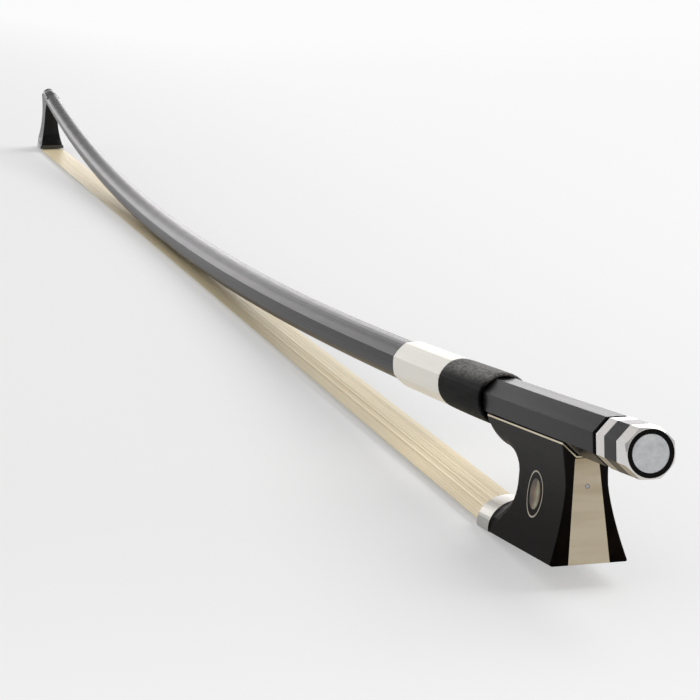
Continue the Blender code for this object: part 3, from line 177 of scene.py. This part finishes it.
class Shader(Graph):
    """A material's node tree, with one Principled surface."""

    def __init__(self, name, **constants):
        self.material = bpy.data.materials.new(name)
        self.material.use_nodes = True
        super().__init__(self.material.node_tree)
        self.surface = self.tree.nodes["Principled BSDF"]
        for socket, value in constants.items():
            self.surface.inputs[socket.replace("_", " ")].default_value = value

    def set(self, **links):
        for name, value in links.items():
            self.feed(self.surface.inputs[name.replace("_", " ")], value)

    def place(self, scale=(1, 1, 1)):
        """The rest position in the handle's frame, stretched."""
        rest = self.node("ShaderNodeTexCoord", {}, {}, "Object")
        turned = self.node(
            "ShaderNodeMapping",
            {"vector_type": "POINT"},
            {"Vector": rest, "Location": FROM_WORLD.translation, "Rotation": (0, HANDLE_PITCH, 0)},
        )
        return self.node("ShaderNodeVectorMath", {"operation": "MULTIPLY"}, {0: turned, 1: Vector(scale)})

    def noise(self, vector, scale, detail=3.0, roughness=0.5):
        return self.node(
            "ShaderNodeTexNoise",
            {"noise_dimensions": "3D"},
            {"Vector": vector, "Scale": scale, "Detail": detail, "Roughness": roughness},
        )

    def cells(self, vector, scale):
        return self.node(
            "ShaderNodeTexVoronoi", {"feature": "F1"}, {"Vector": vector, "Scale": scale}, "Distance"
        )

    def colours(self, factor, stops):
        return self.node("ShaderNodeValToRGB", {"stops": stops}, {"Fac": factor})

    def bump(self, height, depth, strength=1.0):
        made = self.node(
            "ShaderNodeBump", {}, {"Height": height, "Distance": depth, "Strength": strength}
        )
        self.set(Normal=made)


# Hands dull the stick's lacquer beside the grip: where its gloss starts and is full along the handle's
# line, and how strong it is there
GLOSS_START = -0.14
GLOSS_FULL = -0.42
GLOSS_MOST = 0.15


def carbon_finish(base):
    """Clear-coated carbon: fine fibres along the stick under a smooth gloss."""
    shader = Shader("polished carbon", Specular_IOR_Level=0.047, Coat_Roughness=0.2)
    along = shader.place((12, 900, 900))
    fibres = shader.noise(along, 1.0, 4.0, 0.6)
    bands = shader.noise(shader.place((9, 160, 160)), 1.0, 2.0)
    tone = fibres.ramp(0.35, 0.75) * 0.6 + bands * 0.4
    gloss = shader.part_of(shader.place(), "X").ramp(GLOSS_START, GLOSS_FULL) * GLOSS_MOST
    shader.set(
        Base_Color=shader.blend(tone, tuple(c * 0.75 for c in base), tuple(c * 1.9 for c in base)),
        Roughness=tone * 0.06 + 0.22,
        Coat_Weight=gloss,
    )
    shader.bump(fibres, 0.000001, 0.05)
    return shader.material


# Hand polish on the frog: it grows from the first height to the second, up to the last value, its weight
FROG_POLISH = (0.002, 0.022, 0.13)


def ebony_finish(name, base, gloss, softness, polish=None):
    """Near-black wood with short pores and faint brown streaks, polished with height where it is asked."""
    shader = Shader(
        name, Specular_IOR_Level=gloss, Coat_Roughness=0.24, Coat_Tint=(1.0, 0.97, 0.94, 1.0)
    )
    grain = shader.noise(shader.place((60, 700, 700)), 1.0, 5.0, 0.62)
    streaks = shader.noise(shader.place((14, 220, 160)), 1.0, 3.0)
    pores = shader.cells(shader.place((260, 1900, 1900)), 1.0).ramp(0.05, 0.22)
    tone = streaks.ramp(0.45, 0.8) * 0.7 + grain.ramp(0.4, 0.8) * 0.3
    shader.set(
        Base_Color=shader.blend(tone, base, tuple(c * 3.2 for c in base)),
        Roughness=grain * 0.14 + softness - pores * 0.04,
    )
    if polish:
        low, high, most = polish
        shader.set(Coat_Weight=shader.part_of(shader.place(), "Z").ramp(low, high) * most)
    shader.bump(pores * 0.6 + grain * 0.4, 0.000008, 0.25)
    return shader.material


def silver_finish(
    name, base, gloss=0.20, along=(40, 1400, 1400), wear=1.0, clouds=(90, 90, 90), painted_shade=None
):
    """Hand-polished metal: hairline scratches and a faint tarnish, with painted shade that darkens it towards
    the top where heights are given.
    """
    shader = Shader(name, Metallic=1.0, Roughness=gloss)
    scratches = shader.noise(shader.place(along), 1.0, 4.0, 0.7)
    tarnish = shader.noise(shader.place(clouds), 1.0, 3.0)
    warm = (base[0] * 0.92, base[1] * 0.86, base[2] * 0.74)
    share = tarnish.ramp(0.42, 0.70) * 0.50
    # Where heights are given, painted shade darkens the metal towards the top, where the handle and button
    # shade it.
    if painted_shade:
        share = (share + shader.part_of(shader.place(), "Z").ramp(*painted_shade)).least(1.0)
        warm = (base[0] * 0.72, base[1] * 0.66, base[2] * 0.58)
    shader.set(
        Base_Color=shader.blend(share, base, warm),
        Roughness=scratches * (0.10 * wear) + tarnish * 0.06 + (gloss - 0.03 - 0.03 * wear),
    )
    shader.bump(scratches, 0.000003, 0.3 * wear)
    return shader.material


def pearl_finish(name, stops, scale=1.0, gloss=0.16, coat=0.5, flame=None, lines=0.045):
    """Shell: clouded layers whose colour drifts, with a bright flame where one is asked."""
    shader = Shader(name, Specular_IOR_Level=0.1, Coat_Weight=coat, Coat_Roughness=0.08)
    bend = shader.noise(shader.place((180 * scale, 180 * scale, 180 * scale)), 1.0, 2.0)
    layers = shader.noise(shader.place((420 * scale, 260 * scale, 300 * scale)), 1.0, 5.0, 0.65)
    rings = (shader.part_of(shader.place(), "Z") * 2600 * scale + bend * 9.0).sine()
    tone = layers * 0.72 + bend * 0.30 + rings * lines
    if flame:
        middle, reach, lift = flame
        off = shader.part_of(shader.place(), "X") - middle + (bend - 0.5) * (reach * 2.4)
        tone = tone * 0.5 + (1.0 - (off * (1.0 / reach)).size().ramp(0.0, 1.0)) * lift + 0.10
    shader.set(Base_Color=shader.colours(tone, stops), Roughness=layers * 0.15 + gloss - 0.05)
    shader.bump(layers, 0.00001, 0.15)
    return shader.material


# Where a painted grey sheen lies on the leather's back: the heights where it starts and is full
LEATHER_SHEEN_START = 0.0268
LEATHER_SHEEN_FULL = 0.0292


def leather_finish():
    """Thin black leather: a fine matt grain in soft blotches, with a painted grey sheen on its back."""
    shader = Shader("grip leather", Specular_IOR_Level=0.016)
    grain = shader.noise(shader.place((650, 1900, 1900)), 1.0, 3.0, 0.6)
    wear = shader.noise(shader.place((150, 430, 430)), 1.0, 3.0, 0.55)
    tone = (grain * 0.35 + wear * 0.65).ramp(0.40, 0.72)
    black = shader.blend(tone, (0.0008, 0.0008, 0.0007), (0.011, 0.0105, 0.0095))
    patches = grain.ramp(0.35, 0.62) * 0.5 + wear.ramp(0.35, 0.65) * 0.25 + 0.25
    # Painted sheen: the leather's back is mixed towards grey in blotches, standing in for light caught at
    # grazing angles.
    painted_sheen = shader.part_of(shader.place(), "Z").ramp(LEATHER_SHEEN_START, LEATHER_SHEEN_FULL) * patches
    shader.set(
        Base_Color=shader.blend(painted_sheen, black, (0.235, 0.228, 0.218)), Roughness=grain * 0.16 + 0.40
    )
    shader.bump(grain * 0.85 + wear * 0.15, 0.00005, 0.7)
    return shader.material


def winding_finish(pitch):
    """Close turns of pale wire under a clear wrap."""
    shader = Shader("silk winding", Specular_IOR_Level=0.12, Coat_Weight=0.03, Coat_Roughness=0.2)
    run = shader.part_of(shader.place(), "X")
    turns = (run * (2 * math.pi / pitch)).sine()
    drift = shader.noise(shader.place((160, 900, 900)), 1.0, 3.0)
    shade = turns.ramp(-1.0, 0.2)
    shader.set(
        Base_Color=shader.blend(shade * 0.7 + drift * 0.3, (0.97, 0.92, 0.81), (0.99, 0.96, 0.885)),
        Roughness=drift * 0.10 + 0.28,
    )
    shader.bump(turns * 0.5 + 0.5, 0.000006, 0.15)
    return shader.material


def plain_wood_finish():
    """Bare maple for the plugs and the wedge."""
    shader = Shader("maple", Roughness=0.6)
    grain = shader.noise(shader.place((120, 1200, 500)), 1.0, 4.0)
    shader.set(
        Base_Color=shader.blend(grain, (0.60, 0.42, 0.24), (0.76, 0.60, 0.40)), Roughness=grain * 0.2 + 0.5
    )
    shader.bump(grain, 0.00002, 0.4)
    return shader.material


def thread_finish():
    """Red thread, bound round the ends of the hair."""
    shader = Shader("bound thread", Roughness=0.7)
    turns = (shader.part_of(shader.place(), "Y") * 12000).sine()
    shader.set(Base_Color=shader.blend(turns.ramp(-1, 1), (0.30, 0.03, 0.02), (0.62, 0.10, 0.07)))
    shader.bump(turns, 0.00004, 0.6)
    return shader.material


# Where painted shade darkens the hair beside the frog: the places along the handle where that starts and is
# full
HAIR_SHADE_START = -0.260
HAIR_SHADE_FULL = -0.060


def hair_finish():
    """Horsehair: pale, faintly striped from strand to strand, with painted shade that darkens it beside the
    frog.
    """
    shader = Shader("horsehair", Roughness=0.42, Specular_IOR_Level=0.5)
    across = shader.noise(shader.place((2.2, 2600, 90)), 1.0, 3.0, 0.7)
    drift = shader.noise(shader.place((7, 420, 30)), 1.0, 2.0)
    tone = across.ramp(0.2, 0.8) * 0.5 + drift * 0.5
    clean = shader.colours(
        tone, [(0.0, (0.92, 0.75, 0.45)), (0.45, (0.97, 0.84, 0.56)), (1.0, (0.99, 0.91, 0.70))]
    )
    # Painted shade: the hair is mixed towards a darker tone near the frog, where the frog and stick shade it.
    frog_shade = shader.part_of(shader.place(), "X").ramp(HAIR_SHADE_START, HAIR_SHADE_FULL) * 0.55
    shader.set(
        Base_Color=shader.blend(frog_shade, clean, (0.78, 0.65, 0.42)), Roughness=across * 0.14 + 0.32
    )
    return shader.material


def plate_finish():
    """The smooth dark tip plate and its liner."""
    shader = Shader("dark tip plate", Roughness=0.3, Coat_Weight=0.5)
    cloud = shader.noise(shader.place((300, 300, 300)), 1.0, 3.0)
    shader.set(
        Base_Color=shader.blend(cloud, (0.022, 0.022, 0.022), (0.060, 0.058, 0.056)),
        Roughness=cloud * 0.2 + 0.22,
    )
    return shader.material


def steel_finish():
    return silver_finish("screw steel", (0.55, 0.55, 0.56), gloss=0.3)


def dress(node, material):
    """Gives a piece of the frame its finish."""
    target = bpy.data.objects[node]
    target.data.materials.clear()
    target.data.materials.append(material)


class BowStickSizes(bpy.types.PropertyGroup):
    """Sizes and colours of the stick's finish."""

    winding_pitch: bpy.props.FloatProperty(
        name="Winding pitch", description="Distance between two turns of the winding", default=0.00028,
        unit="LENGTH",
    )
    carbon_colour: bpy.props.FloatVectorProperty(
        name="Carbon", description="Colour of the polished stick", default=(0.009, 0.0085, 0.009),
        subtype="COLOR",
    )


class BowHairSizes(bpy.types.PropertyGroup):
    """Sizes of the hair."""

    strands: bpy.props.IntProperty(
        name="Strands", description="Number of hairs that are drawn", default=260, min=20
    )
    thickness: bpy.props.FloatProperty(
        name="Thickness", description="Thickness of one hair", default=0.00023, unit="LENGTH"
    )
    frog_half_width: bpy.props.FloatProperty(
        name="Half width at the ferrule", description="Half the ribbon's width as it leaves the frog",
        default=0.00595, unit="LENGTH",
    )
    head_half_width: bpy.props.FloatProperty(
        name="Half width at the head", description="Half the ribbon's width at the head", default=0.0047,
        unit="LENGTH",
    )


class DressStick(bpy.types.Operator):
    """Finish the carbon stick, its grip and its head"""

    bl_idname = "bow.dress_stick"
    bl_label = "Dress the stick"

    def execute(self, context):
        sizes = context.scene.bow_stick
        dress("stick", carbon_finish(tuple(sizes.carbon_colour)))
        dress("winding", winding_finish(sizes.winding_pitch))
        dress("thumb_leather", leather_finish())
        dress("head_plate", plate_finish())
        dress("head_liner", plate_finish())
        dress("head_plug", plain_wood_finish())
        dress("head_hair_knot", thread_finish())
        return {"FINISHED"}


# The heights between which painted shade darkens the heel plate below the handle
HEEL_PAINTED_SHADE = (0.0150, 0.0215)

# The bright flame in the side eyes' shell: its place along the handle, its reach and its lift
EYE_FLAME = (-0.0150, 0.0018, 0.36)


class DressFrog(bpy.types.Operator):
    """Finish the ebony frog, its metal and its shell"""

    bl_idname = "bow.dress_frog"
    bl_label = "Dress the frog"

    def execute(self, context):
        ebony = ebony_finish(
            "polished ebony", (0.0040, 0.0026, 0.0019), gloss=0.010, softness=0.32, polish=FROG_POLISH
        )
        heel = silver_finish(
            "heel silver", (0.55, 0.477, 0.352), gloss=0.26, wear=0.0, clouds=(30, 30, 260), painted_shade=HEEL_PAINTED_SHADE
        )
        lining = silver_finish("lining silver", (0.60, 0.53, 0.39), gloss=0.24)
        rings = silver_finish("ring silver", (0.40, 0.36, 0.285), gloss=0.30)
        for node in ("frog_body", "slide_backing"):
            dress(node, ebony)
        for node in ("eye_ring_near", "eye_ring_far"):
            dress(node, rings)
        dress("ferrule", silver_finish("ferrule silver", (0.37, 0.36, 0.33), gloss=0.28, wear=0.5))
        dress("underslide", lining)
        for node in ("heel_plate", "heel_leg_pin"):
            dress(node, heel)
        dress("heel_pin", silver_finish("pin steel", (0.46, 0.46, 0.47), gloss=0.3))
        eye = pearl_finish(
            "dark shell",
            [(0.30, (0.030, 0.017, 0.010)), (0.42, (0.13, 0.075, 0.040)), (0.54, (0.23, 0.14, 0.062)),
             (0.64, (0.24, 0.20, 0.10)), (0.78, (0.33, 0.39, 0.30))], gloss=0.3, coat=0.1, flame=EYE_FLAME,
        )
        for node in ("eye_pearl_near", "eye_pearl_far"):
            dress(node, eye)
        dress("pearl_slide", pearl_finish(
            "slide shell",
            [(0.3, (0.42, 0.40, 0.38)), (0.55, (0.66, 0.67, 0.64)), (0.8, (0.82, 0.78, 0.80))], scale=0.5,
        ))
        wood = plain_wood_finish()
        for node in ("ferrule_wedge", "frog_plug"):
            dress(node, wood)
        dress("frog_hair_knot", thread_finish())
        dress("eyelet", silver_finish("brass", (0.76, 0.56, 0.26), gloss=0.3))
        steel = steel_finish()
        for node in ("underslide_screw_front", "underslide_screw_back"):
            dress(node, steel)
        return {"FINISHED"}


class DressButton(bpy.types.Operator):
    """Finish the adjusting screw and its three-part button"""

    bl_idname = "bow.dress_button"
    bl_label = "Dress the button"

    def execute(self, context):
        silver = silver_finish("button silver", (0.70, 0.685, 0.675), gloss=0.20)
        for node in ("button_collar", "button_end_ring"):
            dress(node, silver)
        dress("button_barrel", ebony_finish(
            "button ebony", (0.0035, 0.003, 0.0029), gloss=0.07, softness=0.18
        ))
        dress("button_eye", pearl_finish(
            "pale shell",
            [(0.34, (0.54, 0.55, 0.57)), (0.47, (0.72, 0.73, 0.75)), (0.58, (0.80, 0.81, 0.82)),
             (0.74, (0.92, 0.92, 0.91))], scale=2.2, lines=0.01,
        ))
        dress("adjusting_screw", steel_finish())
        return {"FINISHED"}


# Where the hair starts inside the ferrule and where it leaves it, in the handle's frame
HAIR_START = (-0.0412, 0.0, 0.0021)
FERRULE_MOUTH = (-0.0466, 0.0, 0.0011)

# The hair's place at the tip plate: its gap to the plate and its height over the ribbon's underside
PLATE_GAP = 0.0002
HAIR_LIFT = 0.00045

# How far the hairs roll, in degrees, and how far they lie above or below the ribbon's middle in its free
# stretch and inside the ferrule
HAIR_ROLL = 2
HAIR_DEPTH = 0.00009
START_DEPTH = 0.00025

# How unevenly they lie side by side, how far they wander sideways, and how their thickness varies
HAIR_JITTER = 0.006
HAIR_WANDER = 0.00022
HAIR_THIN, HAIR_THICK = 0.85, 1.2

# How much narrower the hair is inside the ferrule, and the steps of its free stretch
START_SHARE = 0.86
FREE_STEPS = 16

# How much thinner the band grows at its edges, and the least that is left of it
EDGE_THINNING = 0.85
EDGE_LEAST = 0.05

# Where the hair turns up into the head, from the tip plate's heel, and how narrow it is there
HEAD_TURN = 0.0074
HEAD_TURN_RADIUS = 0.0014
HEAD_TURN_RISE = 0.0030
HEAD_TURN_HALF_WIDTH = 0.0020
HEAD_TURN_STEPS = 4


def head_turn(heel, share, layer):
    """The last points of one hair: a quarter turn into the head's hole and a short rise in it."""
    points = []
    for k in range(HEAD_TURN_STEPS + 1):
        angle = math.pi / 2 * k / HEAD_TURN_STEPS
        x = heel.x - HEAD_TURN + (HEAD_TURN_RADIUS + layer * HAIR_DEPTH) * (1 - math.sin(angle))
        z = heel.z + HEAD_TURN_RADIUS - (HEAD_TURN_RADIUS - layer * HAIR_DEPTH) * math.cos(angle)
        points.append(Vector((x, share * HEAD_TURN_HALF_WIDTH, z)))
    points.append(Vector((points[-1].x, share * HEAD_TURN_HALF_WIDTH, heel.z + HEAD_TURN_RISE)))
    return points


def hair_ends():
    """Where the free hair leaves the ferrule and where it meets the tip plate's heel, in the world."""
    mouth = handle_point(*FERRULE_MOUTH)
    ribbon_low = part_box("hair_ribbon")[0]
    plate_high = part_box("head_plate")[1]
    heel = Vector((plate_high[0] + PLATE_GAP, 0.0, ribbon_low[2] + HAIR_LIFT))
    return mouth, heel


def free_hair(mouth, heel, share, layer, drift, sizes):
    """The points of one hair between ferrule and head; its share runs from -1 to 1 across the band."""
    points = []
    depth = layer * HAIR_DEPTH * math.sqrt(max(1 - EDGE_THINNING * share * share, EDGE_LEAST))
    for i in range(FREE_STEPS + 1):
        t = i / FREE_STEPS
        half = sizes.frog_half_width + (sizes.head_half_width - sizes.frog_half_width) * t
        spot = mouth.lerp(heel, t)
        spot.y = share * half + math.sin(t * math.pi) * drift * HAIR_WANDER
        spot.z += depth
        points.append(spot)
    return points


class MakeHair(bpy.types.Operator):
    """Lay single hairs from the ferrule to the head, in the ribbon's place"""

    bl_idname = "bow.make_hair"
    bl_label = "Hair"

    def execute(self, context):
        sizes = context.scene.bow_hair
        mouth, heel = hair_ends()
        chance = random.Random(7)
        mesh = bmesh.new()
        start = handle_point(*HAIR_START)
        for k in range(sizes.strands):
            share = 2 * (k + 0.5) / sizes.strands - 1
            share += chance.uniform(-1, 1) * HAIR_JITTER
            layer = chance.uniform(-1, 1)
            drift = chance.uniform(-1, 1)
            across = share * sizes.frog_half_width * START_SHARE
            path = [start + Vector((0, across, layer * START_DEPTH))]
            path += free_hair(mouth, heel, share, layer, drift, sizes)
            path += head_turn(heel, share, layer)
            roll = math.radians(chance.uniform(-HAIR_ROLL, HAIR_ROLL))
            radius = sizes.thickness / 2 * chance.uniform(HAIR_THIN, HAIR_THICK)
            add_strand(mesh, path, radius, roll)
        hair = finish_mesh("hair_strands", mesh, hair_finish(), smooth=False)
        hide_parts("hair_ribbon")
        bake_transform(hair)
        return {"FINISHED"}


def add_strand(mesh, path, radius, roll):
    """A thin three-sided tube along a path that runs mostly along X, one flat side up and rolled a little."""
    rings = []
    for k, spot in enumerate(path):
        before, after = path[max(k - 1, 0)], path[min(k + 1, len(path) - 1)]
        along = (after - before).normalized()
        square = Vector((0, 1, 0)).cross(along).normalized()
        side = along.cross(square).normalized()
        rings.append([
            mesh.verts.new(spot + (side * math.cos(a) + square * math.sin(a)) * radius)
            for a in (math.radians(30 + 120 * i) + roll for i in range(3))
        ])
    for first, second in zip(rings, rings[1:]):
        for i in range(3):
            j = (i + 1) % 3
            mesh.faces.new((first[i], second[i], second[j], first[j]))
    mesh.faces.new(rings[0])
    mesh.faces.new(reversed(rings[-1]))


def finish_mesh(name, mesh, material, smooth=True):
    bmesh.ops.recalc_face_normals(mesh, faces=mesh.faces[:])
    for face in mesh.faces:
        face.smooth = smooth
    data = bpy.data.meshes.new(name)
    mesh.to_mesh(data)
    mesh.free()
    data.materials.append(material)
    made = bpy.data.objects.new(name, data)
    bpy.context.scene.collection.objects.link(made)
    return made


# The camera, from the photograph's perspective: place, view direction and focal length
CAMERA_PLACE = (0.42191, -0.14910, 0.08493)
CAMERA_RIGHT = (0.24723114, 0.96856409, -0.02757473)
CAMERA_UP = (-0.09174497, 0.05172974, 0.99443798)
CAMERA_BACK = (0.96460335, -0.2433262, 0.10165008)
FOCAL_SHARE = 2543.91 / 700
SENSOR = 36.0

# The lamps: place, target, width and height, power and colour
OVERHEAD_LAMP = ((0.1, 1.05, 1.3), (0.1, 0.0, 0.0), (1.5, 1.2), 13.8, (1.0, 1.0, 1.0))
BACK_LAMP = ((-2.6, 0.30, 0.26), (0.3, 0.0, 0.05), (2.4, 0.50), 9.0, (1.0, 0.975, 0.99))

# The studio's tone: the heights between which it brightens, the way towards which it dims, and how much
SKY_RISE = (-0.1, 0.85)
FRONT_REACH = (-0.5, 0.9)
FRONT_DIMMING = 0.62

# The floor's lift towards the backdrop, painted light that brightens the floor towards the back, the right
# and the camera, over the shadow before the heel: its axis, where it starts, where it is full, and its share
# there
FLOOR_LIFTS = (("X", -0.1, -1.9, 0.58), ("Y", -0.05, 0.20, 0.34), ("X", 0.25, 0.50, 0.40))
FLOOR_MOST = 0.90
FLOOR_REACH = 6.0
FLOOR_GAP = 0.0001


def set_camera():
    data = bpy.data.cameras.new("camera")
    data.sensor_width = SENSOR
    data.sensor_height = SENSOR
    data.sensor_fit = "HORIZONTAL"
    data.lens = SENSOR * FOCAL_SHARE
    data.clip_start = 0.01
    data.clip_end = 20.0
    camera = bpy.data.objects.new("camera", data)
    bpy.context.scene.collection.objects.link(camera)
    turn = Matrix((CAMERA_RIGHT, CAMERA_UP, CAMERA_BACK)).transposed().to_4x4()
    camera.matrix_world = TO_WORLD @ Matrix.Translation(Vector(CAMERA_PLACE)) @ turn
    bpy.context.scene.camera = camera


def add_lamp(name, place, target, size, power, colour):
    data = bpy.data.lights.new(name, "AREA")
    data.shape = "RECTANGLE"
    data.size, data.size_y = size
    data.energy = power
    data.color = colour
    lamp = bpy.data.objects.new(name, data)
    bpy.context.scene.collection.objects.link(lamp)
    lamp.location = place
    lamp.rotation_euler = (Vector(target) - Vector(place)).to_track_quat("-Z", "Y").to_euler()


class BowStageSizes(bpy.types.PropertyGroup):
    """The stage's tones."""

    floor_tone: bpy.props.FloatProperty(
        name="Floor", description="Tone of the floor's paint", default=0.885, min=0, max=1
    )
    floor_lift: bpy.props.FloatProperty(
        name="Floor lift", description="Least share of plain backdrop in the floor as it is seen",
        default=0.28, min=0, max=1,
    )
    horizon_tone: bpy.props.FloatProperty(
        name="Horizon", description="Tone of the studio at floor level", default=0.80, min=0, max=1
    )
    top_tone: bpy.props.FloatProperty(
        name="Ceiling", description="Tone of the studio overhead", default=0.95, min=0, max=1
    )


def floor_finish(tone, lift):
    """A matt white floor with soft shadows; the camera and gloss see it lifted towards the pale backdrop."""
    material = bpy.data.materials.new("floor")
    material.use_nodes = True
    graph = Graph(material.node_tree)
    graph.tree.nodes.clear()
    paint = graph.node("ShaderNodeBsdfDiffuse", {}, {"Color": (tone, tone, tone)})
    rest = graph.node("ShaderNodeTexCoord", {}, {}, "Object")
    share = lift
    # The lifts vary with place and paint light onto the floor, also over part of the bow's shadow.
    for axis, start, full, most in FLOOR_LIFTS:
        share = graph.part_of(rest, axis).ramp(start, full) * most + share
    share = share.least(FLOOR_MOST)
    glow = graph.node("ShaderNodeEmission", {}, {"Color": (1.0, 1.0, 1.0)})
    backdrop = graph.node("ShaderNodeMixShader", {}, {0: share, 1: paint, 2: glow})
    path = graph.tree.nodes.new("ShaderNodeLightPath")
    shows = Value(graph, path.outputs["Is Camera Ray"]).most(Value(graph, path.outputs["Is Glossy Ray"]))
    shows = shows.most(Value(graph, path.outputs["Is Transmission Ray"]))
    seen = graph.node("ShaderNodeMixShader", {}, {0: shows, 1: paint, 2: backdrop})
    output = graph.tree.nodes.new("ShaderNodeOutputMaterial")
    graph.feed(output.inputs["Surface"], seen)
    return material


def set_world(horizon, top):
    """An evenly lit studio: white overhead and behind the bow's head, greyer behind the camera."""
    world = bpy.data.worlds.new("studio")
    bpy.context.scene.world = world
    world.use_nodes = True
    graph = Graph(world.node_tree)
    graph.tree.nodes.clear()
    way = graph.node("ShaderNodeTexCoord", {}, {}, "Generated")
    up = graph.part_of(way, "Z").ramp(*SKY_RISE)
    front = graph.part_of(way, "X").ramp(*FRONT_REACH)
    tone = up * (top - horizon) + horizon
    tone = tone * (1.0 - front * FRONT_DIMMING)
    fill = graph.tree.nodes.new("ShaderNodeBackground")
    graph.tree.links.new(tone.socket, fill.inputs["Strength"])
    output = graph.tree.nodes.new("ShaderNodeOutputWorld")
    graph.tree.links.new(fill.outputs[0], output.inputs["Surface"])


class SetStage(bpy.types.Operator):
    """Set the floor, the soft lamps and the camera"""

    bl_idname = "bow.set_stage"
    bl_label = "Stage"

    def execute(self, context):
        sizes = context.scene.bow_stage
        mesh = bmesh.new()
        around = ((-1, -1), (1, -1), (1, 1), (-1, 1))
        mesh.faces.new([mesh.verts.new((x * FLOOR_REACH, y * FLOOR_REACH, 0.0)) for x, y in around])
        floor = finish_mesh("floor", mesh, floor_finish(sizes.floor_tone, sizes.floor_lift))
        floor.location.z = CAD_BOX[0][2] - FLOOR_GAP
        set_world(sizes.horizon_tone, sizes.top_tone)
        add_lamp("overhead", *OVERHEAD_LAMP)
        add_lamp("back", *BACK_LAMP)
        set_camera()
        context.scene.view_settings.view_transform = "Standard"
        return {"FINISHED"}


class BowPanel(bpy.types.Panel):
    """Lists the steps that dress the bow."""

    bl_idname = "VIEW3D_PT_bow"
    bl_label = "Violin bow"
    bl_space_type = "VIEW_3D"
    bl_region_type = "UI"
    bl_category = "Bow"

    def draw(self, context):
        scene = context.scene
        for group in (scene.bow_stick, scene.bow_hair, scene.bow_stage):
            box = self.layout.box()
            for name in group.__annotations__:
                box.prop(group, name)
        for step in STEPS:
            self.layout.operator(step.bl_idname)


GROUPS = {"bow_stick": BowStickSizes, "bow_hair": BowHairSizes, "bow_stage": BowStageSizes}
STEPS = (DressStick, DressFrog, DressButton, MakeHair, SetStage)


def register():
    for kind in (*GROUPS.values(), *STEPS, BowPanel):
        bpy.utils.register_class(kind)
    for name, kind in GROUPS.items():
        setattr(bpy.types.Scene, name, bpy.props.PointerProperty(type=kind))


def unregister():
    for name in GROUPS:
        delattr(bpy.types.Scene, name)
    for kind in (BowPanel, *reversed(STEPS), *reversed(list(GROUPS.values()))):
        bpy.utils.unregister_class(kind)


def main():
    register()
    bpy.ops.bow.dress_stick()
    bpy.ops.bow.dress_frog()
    bpy.ops.bow.dress_button()
    bpy.ops.bow.make_hair()
    bpy.ops.bow.set_stage()


if __name__ == "__main__":
    main()
